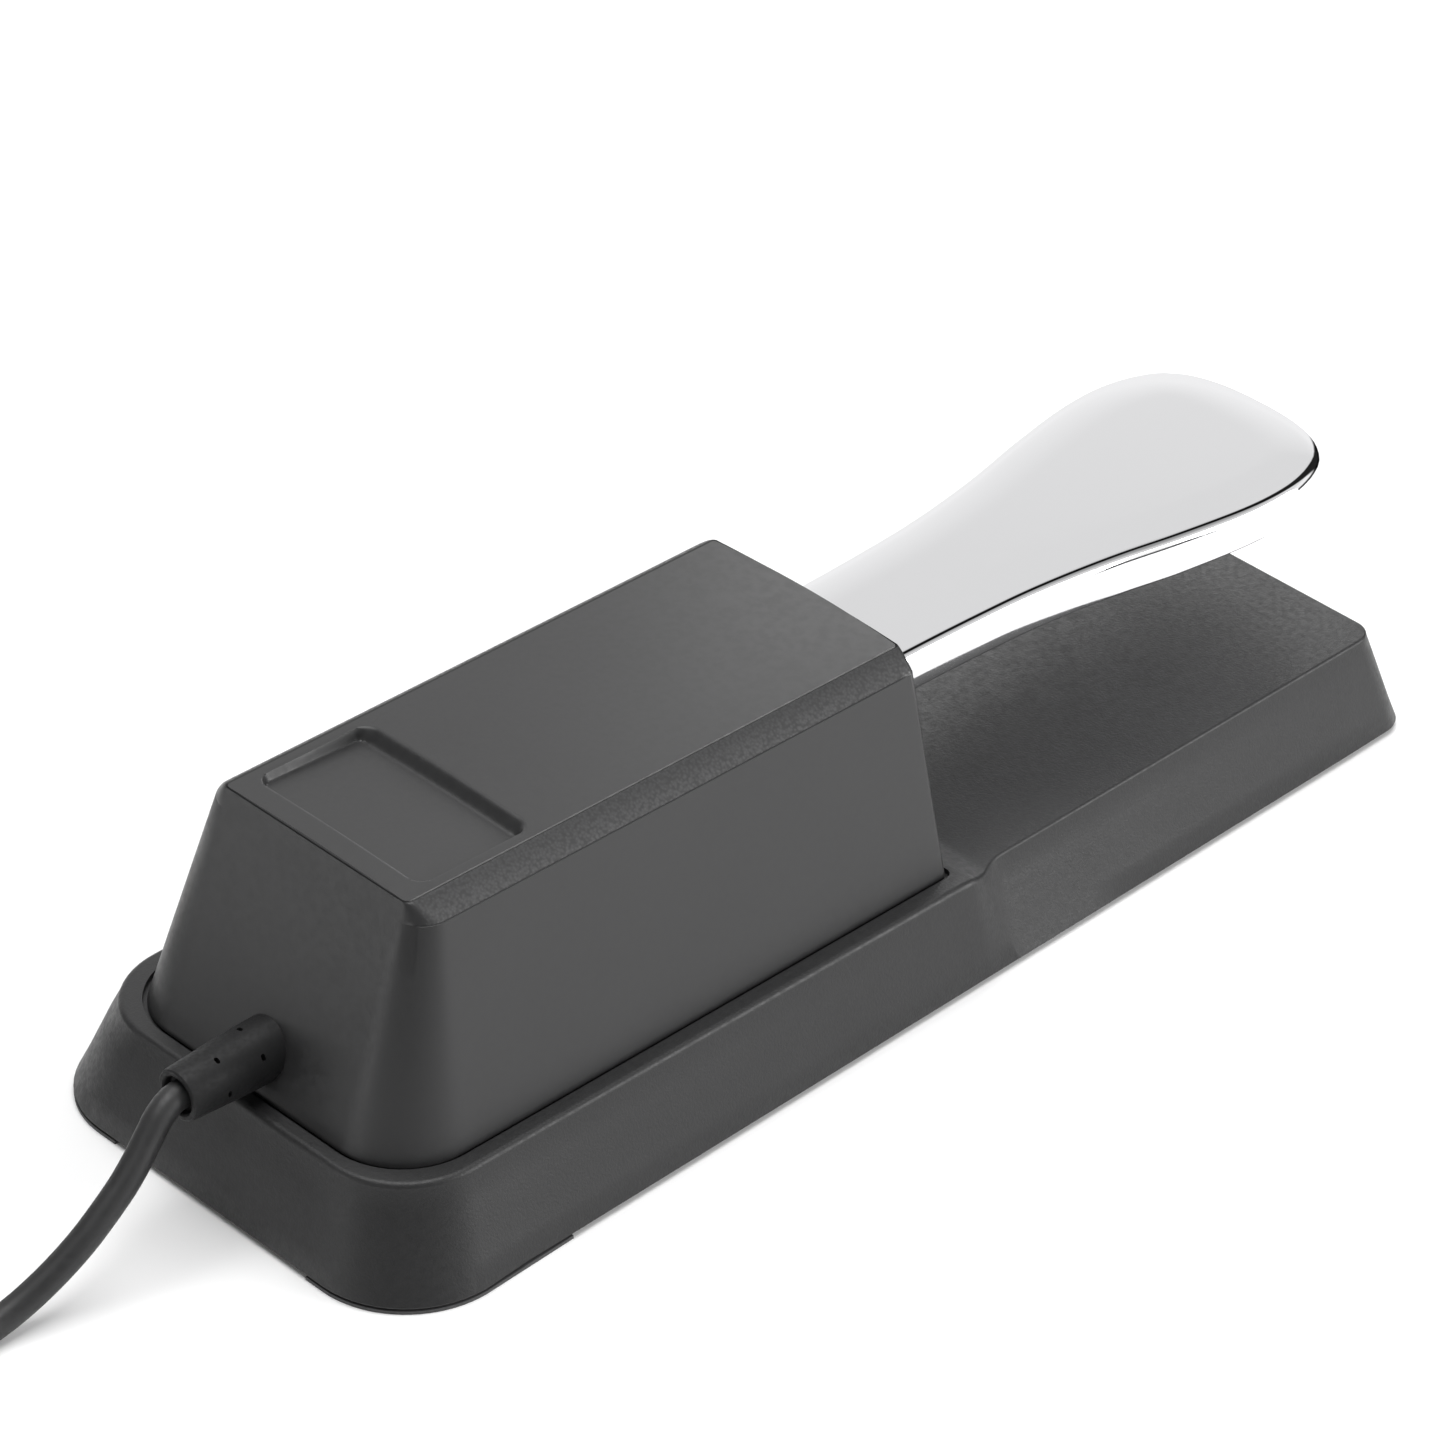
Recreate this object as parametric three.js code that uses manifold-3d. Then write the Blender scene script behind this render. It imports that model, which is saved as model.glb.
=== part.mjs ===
// Sustain pedal: a chrome lever on a hinge inside a moulded tower, on a long weighted base.
// Millimetres, +Z up. The toe end of the lever points to -Y and the cord leaves at +Y.
// The origin is on the floor, under the middle of the pedal's box.
import * as THREE from 'three';
import { mergeVertices } from 'three/addons/utils/BufferGeometryUtils.js';
import Module from 'manifold-3d';

const wasm = await Module();
wasm.setup();

// ---- driving dimensions ----
const GAP = 0.3;                   // between solids that touch
const BASE_REAR_Y = 117.5;         // ends of the base at the floor
const BASE_FRONT_Y = -120.5;
const BASE_TOP_REAR_Y = 111.4;     // and at its top
const BASE_TOP_FRONT_Y = -115.8;
const BASE_HALF_REAR = 45.3;       // half widths at the floor
const BASE_HALF_FRONT = 40.2;
const BASE_R_REAR = 18;
const BASE_R_FRONT = 6;
const FOOT_PAD = 0.6;              // thickness of the rubber pads
const FRONT_PAD_INSET = 4;         // the front pads stand back from the outline
const PLATE_LOW = 2.6;             // the bottom plate's two faces
const PLATE_TOP = 3.8;
const RIM_Z = FOOT_PAD + GAP;      // lower rim of the base shell
const COLLAR_Z = 19;               // top of the collar around the tower
const PAD_REAR_Z = 17.6;           // top of the pad under the lever, near the tower
const DECK_Z = 18;                 // seat of the tower and of the mechanism
const DECK_UNDER_Z = 15.5;
const WALL = 2.5;

const TOWER_Z = 18.3;              // lower edge of the tower
const TOWER_SHOULDER_Z = 55.9;     // where the side wall meets the rounded shoulder
const TOWER_TOP_Z = 59.1;
const TOWER_TOP_FALL = 1.7;        // the top falls this much towards the lever
const TOWER_HALF_FOOT = 34.5;
const TOWER_HALF_SHOULDER = 25.6;
const TOWER_HALF_TOP = 21.7;
const TOWER_REAR_FOOT_Y = 107.7;
const TOWER_REAR_TOP_Y = 93.2;
const TOWER_FRONT_Y = -12;
const TOWER_WALL = 2.2;
const RECESS_HALF = 19.5;
const RECESS_REAR_Y = 88.5;
const RECESS_FRONT_Y = 65.5;
const RECESS_R = 3;
const RECESS_DEPTHS = [1.2, 2];    // at its rear and at its lever side

const LEVER_TOP_Z = 47.3;
const LEVER_LOW_Z = 39.5;
const LEVER_PLATE = 2;
const LEVER_TIP_Y = -123.6;
const LEVER_TAIL_Y = 86;
const PIVOT_Y = 78;
const PIVOT_Z = 41;
const AXLE_R = 2.5;
const BRACKET_HALF = 16;
const SHEET = 1.5;                 // steel sheet of the brackets

const STOP_Y = 10;
const FELT_H = 2.5;
const STOP_BAR_Z = LEVER_TOP_Z + GAP + FELT_H + GAP;
const SPRING_Y = 30;
const SPRING_R = 6.2;
const SPRING_WIRE = 1.6;
const SPRING_TURNS = 6;
const SWITCH_Y = 48;
const BOARD_Z = 25.4;

const CORD_D = 4.8;
const CORD_Z = 25.6;               // height of the cord exit
const BOOT_END_Y = 122.5;
const BOOT_R = 5.2;
const COIL_X = 64;                 // middle of the put-away coil
const COIL_Y = 174;
const COIL_OUT = 39.6;
const COIL_IN = 17.4;
const COIL_H = 2 * CORD_D;
const PLUG_X = COIL_X + COIL_OUT - CORD_D / 2;
const PLUG_Y = COIL_Y - 24.3;
const PLUG_Z = 6.3;

// ---- finishes ----
const finish = (color, roughness, metalness) => ({ color, roughness, metalness });
const ABS = finish(0x3b3b3c, 0.55, 0);
const CHROME = finish(0xe6e6e8, 0.06, 1);
const RUBBER = finish(0x1d1d1e, 0.85, 0);
const STEEL = finish(0x9a9c9f, 0.4, 1);
const SPRING_STEEL = finish(0x84878a, 0.3, 1);
const NYLON = finish(0xe8e4d8, 0.5, 0);
const FELT = finish(0x7a1f22, 0.95, 0);
const BOARD = finish(0x1e5b35, 0.5, 0);
const PVC = finish(0x2c2c2e, 0.5, 0);
const NICKEL = finish(0xc9c6bd, 0.18, 1);

const root = new THREE.Group();

// ---- helpers ----
const lerp = THREE.MathUtils.lerp;
const clamp01 = (t) => THREE.MathUtils.clamp(t, 0, 1);

function bare(geometry) {
  const g = geometry.index ? geometry.toNonIndexed() : geometry.clone();
  for (const name of Object.keys(g.attributes)) if (name !== 'position') g.deleteAttribute(name);
  return mergeVertices(g, 1e-4);
}

function solid(geometry) {
  const g = bare(geometry);
  const vertProperties = new Float32Array(g.attributes.position.array);
  const triVerts = new Uint32Array(g.index.array);
  return new wasm.Manifold(new wasm.Mesh({ numProp: 3, vertProperties, triVerts }));
}

function geometryOf(manifold) {
  const mesh = manifold.getMesh();
  const g = new THREE.BufferGeometry();
  g.setAttribute('position', new THREE.BufferAttribute(new Float32Array(mesh.vertProperties), 3));
  g.setIndex(new THREE.BufferAttribute(new Uint32Array(mesh.triVerts), 1));
  const flat = g.toNonIndexed();
  flat.computeVertexNormals();
  return flat;
}

const cut = (body, ...tools) => tools.reduce((m, t) => m.subtract(solid(t)), body);
const join = (body, ...more) => more.reduce((m, t) => m.add(solid(t)), body);

function add(name, shape, look) {
  const geometry = shape.isBufferGeometry ? shape : geometryOf(shape);
  const mesh = new THREE.Mesh(geometry, new THREE.MeshStandardMaterial(look));
  mesh.name = name;
  root.add(mesh);
  return mesh;
}

function box(x0, x1, y0, y1, z0, z1) {
  const g = new THREE.BoxGeometry(x1 - x0, y1 - y0, z1 - z0);
  return g.translate((x0 + x1) / 2, (y0 + y1) / 2, (z0 + z1) / 2);
}

function discZ(x, y, z0, z1, r, segments = 20) {
  return new THREE.CylinderGeometry(r, r, z1 - z0, segments)
    .rotateX(Math.PI / 2).translate(x, y, (z0 + z1) / 2);
}

function discX(x0, x1, y, z, r, segments = 32) {
  return new THREE.CylinderGeometry(r, r, x1 - x0, segments)
    .rotateZ(Math.PI / 2).translate((x0 + x1) / 2, y, z);
}

// A closed profile of [radius, height] pairs turned about Z, then laid along +Y if asked.
function turned(profile, segments = 24) {
  return new THREE.LatheGeometry(profile.map(([r, h]) => new THREE.Vector2(r, h)), segments).rotateX(Math.PI / 2);
}
const turnedY = (profile, segments) => turned(profile, segments).rotateX(-Math.PI / 2);

// A solid that is mirror-symmetric in X: each section lists [x, y, z] down its +X side, rear to front.
// Sections run upward, and both ends are closed straight across.
function symmetricLoft(sections) {
  const count = sections[0].length;
  const positions = [];
  for (const section of sections) {
    for (const [x, y, z] of section) positions.push(x, y, z);
    for (const [x, y, z] of [...section].reverse()) positions.push(-x, y, z);
  }
  const ring = 2 * count;
  const index = [];
  const quad = (a, b, c, d) => index.push(a, b, c, a, c, d);
  for (let s = 0; s + 1 < sections.length; s += 1) {
    for (let i = 0; i < ring; i += 1) {
      const j = (i + 1) % ring;
      quad(s * ring + j, s * ring + i, (s + 1) * ring + i, (s + 1) * ring + j);
    }
  }
  const top = (sections.length - 1) * ring;
  for (let i = 0; i + 1 < count; i += 1) {
    quad(i, i + 1, ring - 2 - i, ring - 1 - i);
    quad(top + ring - 1 - i, top + ring - 2 - i, top + i + 1, top + i);
  }
  const g = new THREE.BufferGeometry();
  g.setAttribute('position', new THREE.Float32BufferAttribute(positions, 3));
  g.setIndex(index);
  return g;
}

// The +X side of a block in plan, rear to front, with rounded corners and stations along the side.
function sidePlan({ half, rear, front, rRear, rFront, stations = [] }) {
  const points = [];
  const arc = (cx, cy, r, from, to, steps) => {
    for (let i = 0; i <= steps; i += 1) {
      const a = lerp(from, to, i / steps);
      points.push([cx + r * Math.cos(a), cy + r * Math.sin(a)]);
    }
  };
  arc(half(rear) - rRear, rear - rRear, rRear, Math.PI / 2, 0, 10);
  for (const y of stations) points.push([half(y), y]);
  arc(half(front) - rFront, front + rFront, rFront, 0, -Math.PI / 2, 5);
  return points;
}

// ---- base ----
const COLLAR_END_Y = -13.5;        // the collar ends here, and ramps down to the pad
const PAD_START_Y = -18.5;
const BASE_STATIONS = [80, 40, 5, COLLAR_END_Y, -16, PAD_START_Y, -24, -60, -95];
const floorHalf = (y) => lerp(BASE_HALF_FRONT, BASE_HALF_REAR, (y - BASE_FRONT_Y) / (BASE_REAR_Y - BASE_FRONT_Y));

function topHalf(y) {
  const ramp = clamp01((COLLAR_END_Y - y) / 10);
  const collar = lerp(38.6, 38.9, clamp01((80 - y) / 95));
  return lerp(collar, 35.5, ramp * ramp * (3 - 2 * ramp));
}

function topZ(y) {
  if (y >= COLLAR_END_Y) return COLLAR_Z;
  if (y >= PAD_START_Y) return lerp(PAD_REAR_Z, COLLAR_Z, (y - PAD_START_Y) / (COLLAR_END_Y - PAD_START_Y));
  return lerp(PAD_REAR_Z, COLLAR_Z, clamp01((PAD_START_Y - y) / (PAD_START_Y + 114)));
}

// One level of the base: rise 0 is the lower rim, rise 1 the top; inset pulls the outline in.
function baseSection(rise, inset, drop) {
  const wide = (y) => lerp(floorHalf(y), topHalf(y), rise) - inset;
  const plan = sidePlan({
    half: wide,
    rear: lerp(BASE_REAR_Y, BASE_TOP_REAR_Y, rise) - inset,
    front: lerp(BASE_FRONT_Y, BASE_TOP_FRONT_Y, rise) + inset,
    rRear: Math.max(lerp(BASE_R_REAR, 15.5, rise) - inset, 1),
    rFront: Math.max(lerp(BASE_R_FRONT, 4.5, rise) - inset, 0.8),
    stations: BASE_STATIONS,
  });
  return plan.map(([x, y]) => [x, y, lerp(RIM_Z, topZ(y), rise) - drop]);
}

function towerPlan(z, inset = 0) {
  const rise = clamp01((z - TOWER_Z) / (TOWER_TOP_Z - TOWER_Z));
  const up = clamp01((z - TOWER_Z) / (TOWER_SHOULDER_Z - TOWER_Z));
  const turn = clamp01((z - TOWER_SHOULDER_Z) / (TOWER_TOP_Z - TOWER_SHOULDER_Z));
  const shoulder = (TOWER_HALF_SHOULDER - TOWER_HALF_TOP) * (1 - Math.sqrt(1 - turn * turn * 0.92)) / 0.717;
  const half = lerp(TOWER_HALF_FOOT, TOWER_HALF_SHOULDER, up) - shoulder - inset;
  const rear = lerp(TOWER_REAR_FOOT_Y, TOWER_REAR_TOP_Y, rise) - inset;
  return sidePlan({
    half: () => half,
    rear,
    front: TOWER_FRONT_Y + inset,
    rRear: Math.max(lerp(13.5, 5, rise) - inset, 1),
    rFront: Math.max(1.6 - inset, 0.6),
    stations: [60, 20],
  });
}

function towerSection(z, inset = 0, drop = 0) {
  const fall = (y) => TOWER_TOP_FALL * clamp01((z - TOWER_Z) / (TOWER_TOP_Z - TOWER_Z)) * (TOWER_REAR_TOP_Y - y)
    / (TOWER_REAR_TOP_Y - TOWER_FRONT_Y);
  return towerPlan(z, inset).map(([x, y]) => [x, y, z - fall(y) - drop]);
}

const COVER_SCREWS = [[25.5, 90], [-25.5, 90], [25.5, -5], [-25.5, -5]];
const PLATE_SCREWS = [[33, 98], [-33, 98], [30, -98], [-30, -98]];
const BRACKET_SCREWS = [[11, 66], [-11, 66], [11, 90], [-11, 90]];
const STOP_SCREWS = [[20, 10], [-20, 10]];
const BOARD_SCREWS = [[9.5, SWITCH_Y + 1], [-9.5, SWITCH_Y + 1]];

function baseShell() {
  const outer = symmetricLoft([
    baseSection(0, 0, 0), baseSection(0.93, 0, 0), baseSection(0.98, 0.35, 0), baseSection(1, 1.2, 0),
  ]);
  const hollow = symmetricLoft([
    baseSection(-0.1, WALL, 0), baseSection(0.55, WALL, 0), baseSection(1, WALL, COLLAR_Z - DECK_UNDER_Z),
  ]);
  const seatPlan = towerPlan(TOWER_Z, -0.7);
  const seat = symmetricLoft([seatPlan.map(([x, y]) => [x, y, DECK_Z]), seatPlan.map(([x, y]) => [x, y, 25])]);
  let shell = cut(solid(outer), hollow, seat);
  const posts = PLATE_SCREWS.map(([x, y]) => discZ(x, y, PLATE_TOP + GAP, 16.2, 3.4));
  const boardPosts = BOARD_SCREWS.map(([x, y]) => discZ(x, y, DECK_Z - 0.5, BOARD_Z - GAP, 2.6));
  shell = join(shell, ...posts, ...boardPosts);
  const holes = [
    ...COVER_SCREWS.map(([x, y]) => discZ(x, y, 10, 25, 1.9)),
    ...PLATE_SCREWS.map(([x, y]) => discZ(x, y, 0, 13.5, 1.75)),
    ...BOARD_SCREWS.map(([x, y]) => discZ(x, y, 19, 30, 1.7)),
    ...BRACKET_SCREWS.map(([x, y]) => discZ(x, y, 10, 25, 1.75)),
    ...STOP_SCREWS.map(([x, y]) => discZ(x, y, 10, 25, 1.75)),
  ];
  return cut(shell, ...holes);
}

function bottomPlate() {
  const level = (z) => baseSection(0.1, WALL + 0.6, 0).map(([x, y]) => [x, y, z]);
  const plate = solid(symmetricLoft([level(PLATE_LOW), level(PLATE_TOP)]));
  const holes = PLATE_SCREWS.map(([x, y]) => discZ(x, y, 0, 8, 1.9));
  return cut(plate, ...holes);
}

// A pan-head screw whose shank runs along +Z from its head, or down from it if flip is set.
function screw(name, x, y, headZ, length, flip = false) {
  const headR = 2.7;
  const headH = 1.6;
  const shankR = 1.4;
  const profile = [[0, 0], [headR * 0.75, 0], [headR, 0.6], [headR, headH], [shankR, headH],
    [shankR, length - 1], [0, length]];
  const g = turned(profile, 16);
  if (flip) g.rotateX(Math.PI);
  add(name, g.translate(x, y, headZ), STEEL);
}

// A corner pad that follows the base's outline; side is +1 or -1, and rear or front.
function cornerPad(side, rear) {
  const width = 9;
  const along = rear ? 37 : 24;
  const across = rear ? 22 : 20;
  const y = rear ? BASE_REAR_Y : BASE_FRONT_Y;
  const half = floorHalf(y);
  const r = rear ? BASE_R_REAR : BASE_R_FRONT;
  const dir = rear ? -1 : 1;
  const inner = Math.max(r - width, 2);
  const slope = (floorHalf(y + dir * along) - half);
  const shape = new THREE.Shape();
  shape.moveTo(half - across, 0);
  shape.lineTo(half - r, 0);
  shape.absarc(half - r, -r, r, Math.PI / 2, 0, true);
  shape.lineTo(half + slope, -along);
  shape.lineTo(half + slope - width, -along);
  shape.lineTo(half - width, -(width + inner));
  shape.absarc(half - width - inner, -(width + inner), inner, 0, Math.PI / 2, false);
  shape.lineTo(half - across, -width);
  shape.closePath();
  const g = new THREE.ExtrudeGeometry(shape, { depth: FOOT_PAD, bevelEnabled: false, curveSegments: 10 });
  if (!rear) g.rotateX(Math.PI).translate(0, 0, FOOT_PAD);
  if (side < 0) g.rotateY(Math.PI).translate(0, 0, FOOT_PAD);
  const inset = rear ? 0 : FRONT_PAD_INSET;
  return g.translate(-side * inset, y + inset, 0);
}

// ---- tower ----
function housingCover() {
  const levels = [TOWER_Z, TOWER_SHOULDER_Z, 56.9, 57.9, 58.6, TOWER_TOP_Z];
  const outer = symmetricLoft(levels.map((z) => towerSection(z)));
  const inside = [TOWER_Z, 54, TOWER_TOP_Z - 0.6].map((z, i) => towerSection(z, TOWER_WALL, [1, 0, TOWER_WALL][i]));
  let cover = solid(outer).subtract(solid(symmetricLoft(inside)));
  const posts = COVER_SCREWS.map(([x, y]) => discZ(x, y, TOWER_Z, 45, 3.3));
  const envelope = solid(symmetricLoft(levels.map((z) => towerSection(z))));
  for (const post of posts) cover = cover.add(solid(post).intersect(envelope));
  return cut(
    cover,
    ...COVER_SCREWS.map(([x, y]) => discZ(x, y, 10, 32, 1.7)),
    box(-16, 16, TOWER_FRONT_Y - 5, TOWER_FRONT_Y + 5, 30.5, 48.6),
    discX(0, 20, 0, 0, BOOT_R + GAP, 28).rotateZ(Math.PI / 2).translate(0, 92, CORD_Z),
    recessTool(),
  );
}

// The shallow recess in the tower's top, deepest towards the lever.
function recessTool() {
  const plan = (grow) => sidePlan({
    half: () => RECESS_HALF + grow,
    rear: RECESS_REAR_Y + grow,
    front: RECESS_FRONT_Y - grow,
    rRear: RECESS_R,
    rFront: RECESS_R,
  });
  const depth = (y) => lerp(...RECESS_DEPTHS, (RECESS_REAR_Y - y) / (RECESS_REAR_Y - RECESS_FRONT_Y));
  const surface = (y) => TOWER_TOP_Z - TOWER_TOP_FALL * (TOWER_REAR_TOP_Y - y) / (TOWER_REAR_TOP_Y - TOWER_FRONT_Y);
  return symmetricLoft([
    plan(-0.4).map(([x, y]) => [x, y, surface(y) - depth(y)]),
    plan(0.6).map(([x, y]) => [x, y, surface(y) + 2]),
  ]);
}

// ---- lever ----
const LEVER_SIDE = [
  [12, LEVER_TAIL_Y], [12, 60], [12, 30], [12, 8], [12.4, 2], [13.6, -5], [14, -10], [14.2, -25], [14.7, -40],
  [15.3, -50], [16.4, -60], [18.2, -70], [20.4, -80], [22.3, -90], [23.2, -96], [23.5, -101], [23.3, -106],
  [22.6, -110], [21.5, -113.4], [19.8, -116.6], [17.4, -119.3], [14.4, -121.3], [11, -122.4], [7, -123.2],
  [3, LEVER_TIP_Y],
];

function insetPlan(points, inset) {
  return points.map(([x, y], i) => {
    const [x0, y0] = points[Math.max(i - 1, 0)];
    const [x1, y1] = points[Math.min(i + 1, points.length - 1)];
    const length = Math.hypot(x1 - x0, y1 - y0);
    const nx = -(y1 - y0) / length;
    const ny = (x1 - x0) / length;
    return [Math.max(x - nx * inset, 0.3), i === 0 ? y - inset : y - ny * inset];
  });
}

function leverSection(z, inset, tipLift = 0) {
  return insetPlan(LEVER_SIDE, inset).map(([x, y]) => [x, y, z + tipLift * clamp01((-80 - y) / 40)]);
}

function pedalLever() {
  const outer = symmetricLoft([
    leverSection(LEVER_LOW_Z, 0, 1.2), leverSection(LEVER_TOP_Z - 1.3, 0), leverSection(LEVER_TOP_Z - 0.5, 0.6),
    leverSection(LEVER_TOP_Z - 0.1, 1.4), leverSection(LEVER_TOP_Z, 2.1),
  ]);
  const under = symmetricLoft([
    leverSection(LEVER_LOW_Z - 1, LEVER_PLATE), leverSection(LEVER_TOP_Z - LEVER_PLATE, LEVER_PLATE),
  ]);
  let lever = cut(solid(outer), under);
  for (const side of [-1, 1]) {
    const ear = discX(10, 12, PIVOT_Y, PIVOT_Z, 6.2);
    lever = join(lever, side < 0 ? ear.rotateY(Math.PI).translate(0, 0, 2 * PIVOT_Z) : ear);
  }
  return cut(lever, discX(-20, 20, PIVOT_Y, PIVOT_Z, 4.1));
}

function leverBush(side) {
  const profile = [[AXLE_R + 0.15, 0], [3.9, 0], [3.9, 2.6], [5.4, 2.6], [5.4, 3.6], [AXLE_R + 0.15, 3.6],
    [AXLE_R + 0.15, 0]];
  const g = turned(profile, 32).rotateY(side * Math.PI / 2);
  return g.translate(side * 9.7, PIVOT_Y, PIVOT_Z);
}

// ---- hinge ----
function pivotBracket() {
  const base = box(-BRACKET_HALF, BRACKET_HALF, 62, 94, DECK_Z + GAP, DECK_Z + GAP + SHEET);
  const cheek = (x) => box(x, x + SHEET, 69, 87, DECK_Z + GAP + SHEET / 2, PIVOT_Z + 5);
  return cut(
    join(solid(base), cheek(-BRACKET_HALF), cheek(BRACKET_HALF - SHEET)),
    discX(-20, 20, PIVOT_Y, PIVOT_Z, AXLE_R + GAP),
    ...BRACKET_SCREWS.map(([x, y]) => discZ(x, y, 15, 25, 1.75)),
  );
}

function pivotAxle() {
  const half = BRACKET_HALF + 2.4;
  const groove = BRACKET_HALF + 0.5;
  const profile = [[0, -half], [AXLE_R - 0.4, -half], [AXLE_R, -half + 0.4], [AXLE_R, -groove - 1.1],
    [1.8, -groove - 1.1], [1.8, -groove], [AXLE_R, -groove], [AXLE_R, groove], [1.8, groove],
    [1.8, groove + 1.1], [AXLE_R, groove + 1.1], [AXLE_R, half - 0.4], [AXLE_R - 0.4, half], [0, half]];
  return turned(profile, 32).rotateY(Math.PI / 2).translate(0, PIVOT_Y, PIVOT_Z);
}

function axleClip(side) {
  const shape = new THREE.Shape();
  shape.absarc(0, 0, 4.2, Math.PI * 0.62, Math.PI * 2.38, false);
  shape.absarc(0, 0, 2.1, Math.PI * 2.38, Math.PI * 0.62, true);
  shape.closePath();
  const g = new THREE.ExtrudeGeometry(shape, { depth: 0.5, bevelEnabled: false, curveSegments: 20 });
  g.rotateX(Math.PI / 2).rotateZ(Math.PI / 2);
  g.center();
  return g.translate(side * (BRACKET_HALF + 1.05), PIVOT_Y, PIVOT_Z);
}

// ---- spring ----
class Helix extends THREE.Curve {
  constructor(radius, low, high, turns) {
    super();
    Object.assign(this, { radius, low, high, turns });
  }

  getPoint(t, target = new THREE.Vector3()) {
    const a = t * this.turns * 2 * Math.PI;
    return target.set(this.radius * Math.cos(a), this.radius * Math.sin(a), lerp(this.low, this.high, t));
  }
}

const SPRING_LOW = DECK_Z + GAP + SHEET + GAP;
const SPRING_HIGH = LEVER_TOP_Z - LEVER_PLATE - GAP - SHEET - GAP;

function returnSpring() {
  const wire = SPRING_WIRE / 2;
  const path = new Helix(SPRING_R, SPRING_LOW + wire, SPRING_HIGH - wire, SPRING_TURNS);
  const section = new THREE.Shape();
  section.absarc(0, 0, wire * 0.96, 0, 2 * Math.PI, false);
  const g = new THREE.ExtrudeGeometry(section, {
    steps: SPRING_TURNS * 14, bevelEnabled: false, extrudePath: path, curveSegments: 6,
  });
  return g.translate(0, SPRING_Y, 0);
}

function springSeat() {
  const z = DECK_Z + GAP;
  const profile = [[0, z], [8.8, z], [8.8, z + SHEET], [4.9, z + SHEET], [4.6, z + 6], [3.6, z + 7], [0, z + 7]];
  return turned(profile, 24).translate(0, SPRING_Y, 0);
}

function springCap() {
  const z = LEVER_TOP_Z - LEVER_PLATE - GAP;
  const profile = [[0, z - 6], [3.6, z - 6], [4.6, z - 5], [4.9, z - SHEET], [8.8, z - SHEET], [8.8, z], [0, z]];
  return turned(profile, 24).translate(0, SPRING_Y, 0);
}

// ---- stops ----
function stopBracket() {
  const deck = DECK_Z + GAP;
  const half = 15.3;
  const parts = [
    box(-half, -half + SHEET, STOP_Y - 4, STOP_Y + 4, deck + 0.5, STOP_BAR_Z + 1),
    box(half - SHEET, half, STOP_Y - 4, STOP_Y + 4, deck + 0.5, STOP_BAR_Z + 1),
    box(-24, -half + 1, STOP_Y - 4, STOP_Y + 4, deck, deck + SHEET),
    box(half - 1, 24, STOP_Y - 4, STOP_Y + 4, deck, deck + SHEET),
  ];
  const bar = solid(box(-half, half, STOP_Y - 4, STOP_Y + 4, STOP_BAR_Z, STOP_BAR_Z + SHEET));
  return cut(join(bar, ...parts), ...STOP_SCREWS.map(([x, y]) => discZ(x, y, 15, 25, 1.75)));
}

// ---- switch ----
function circuitBoard() {
  const board = box(-13, 13, SWITCH_Y - 9.5, SWITCH_Y + 12, BOARD_Z, BOARD_Z + 1.6);
  return cut(solid(board), ...BOARD_SCREWS.map(([x, y]) => discZ(x, y, 20, 30, 1.75)));
}

const SWITCH_LOW = BOARD_Z + 1.6 + GAP;
const SWITCH_TOP = 40.6;
const PLUNGER_TOP = LEVER_TOP_Z - LEVER_PLATE - GAP;

function switchBody() {
  const body = box(-5, 5, SWITCH_Y - 6, SWITCH_Y + 6, SWITCH_LOW, SWITCH_TOP);
  return cut(solid(body), discZ(0, SWITCH_Y, 33, 45, 2.3));
}

function switchPlunger() {
  const profile = [[0, SWITCH_TOP - 3.5], [1.9, SWITCH_TOP - 3.5], [1.9, PLUNGER_TOP - 0.6], [1.3, PLUNGER_TOP],
    [0, PLUNGER_TOP]];
  return turned(profile, 20).translate(0, SWITCH_Y, 0);
}

// ---- cord ----
function tube(points, diameter, steps, sides = 10) {
  const path = new THREE.CatmullRomCurve3(points.map(([x, y, z]) => new THREE.Vector3(x, y, z)), false, 'centripetal');
  const section = new THREE.Shape();
  for (let i = 0; i < sides; i += 1) {
    const a = (i + 0.5) * 2 * Math.PI / sides;
    section[i ? 'lineTo' : 'moveTo'](Math.cos(a) * diameter / 2, Math.sin(a) * diameter / 2);
  }
  section.closePath();
  return new THREE.ExtrudeGeometry(section, { steps, bevelEnabled: false, extrudePath: path, curveSegments: 1 });
}

const CORD_ROUTE = [
  [0, 121.3, CORD_Z], [0, 123.4, 25.4], [-0.4, 126.4, 24], [-1.1, 129.4, 21.6], [-1.9, 132.6, 19.1],
  [-2.5, 136, 16.6], [-2.9, 140, 14], [-3.1, 144.2, 11.3], [-2.9, 148.6, 8.6], [-2.5, 153, 6.2], [-2, 157, 4.3],
  [-1.6, 161, 3], [-1.5, 165.4, 2.5], [-1.2, 170.8, 2.45], [0.7, 177, 2.45], [4.8, 182.6, 2.45],
  [10.8, 186.8, 2.45], [17.8, 190.6, 2.45], [28, 196.2, 2.45],
];
const CORD_END_ROUTE = [
  [PLUG_X, COIL_Y - 19.5, PLUG_Z], [PLUG_X, COIL_Y - 21.8, PLUG_Z], [PLUG_X, PLUG_Y + GAP, PLUG_Z],
];

function cordCoil() {
  const r = 1.6;
  const z1 = COIL_H + 0.1;
  const profile = [[COIL_IN, r], [COIL_IN + r, 0.05], [COIL_OUT - r, 0.05], [COIL_OUT, r], [COIL_OUT, z1 - r],
    [COIL_OUT - r, z1], [COIL_IN + r, z1], [COIL_IN, z1 - r], [COIL_IN, r]];
  return turned(profile, 40).translate(COIL_X, COIL_Y, 0);
}

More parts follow.
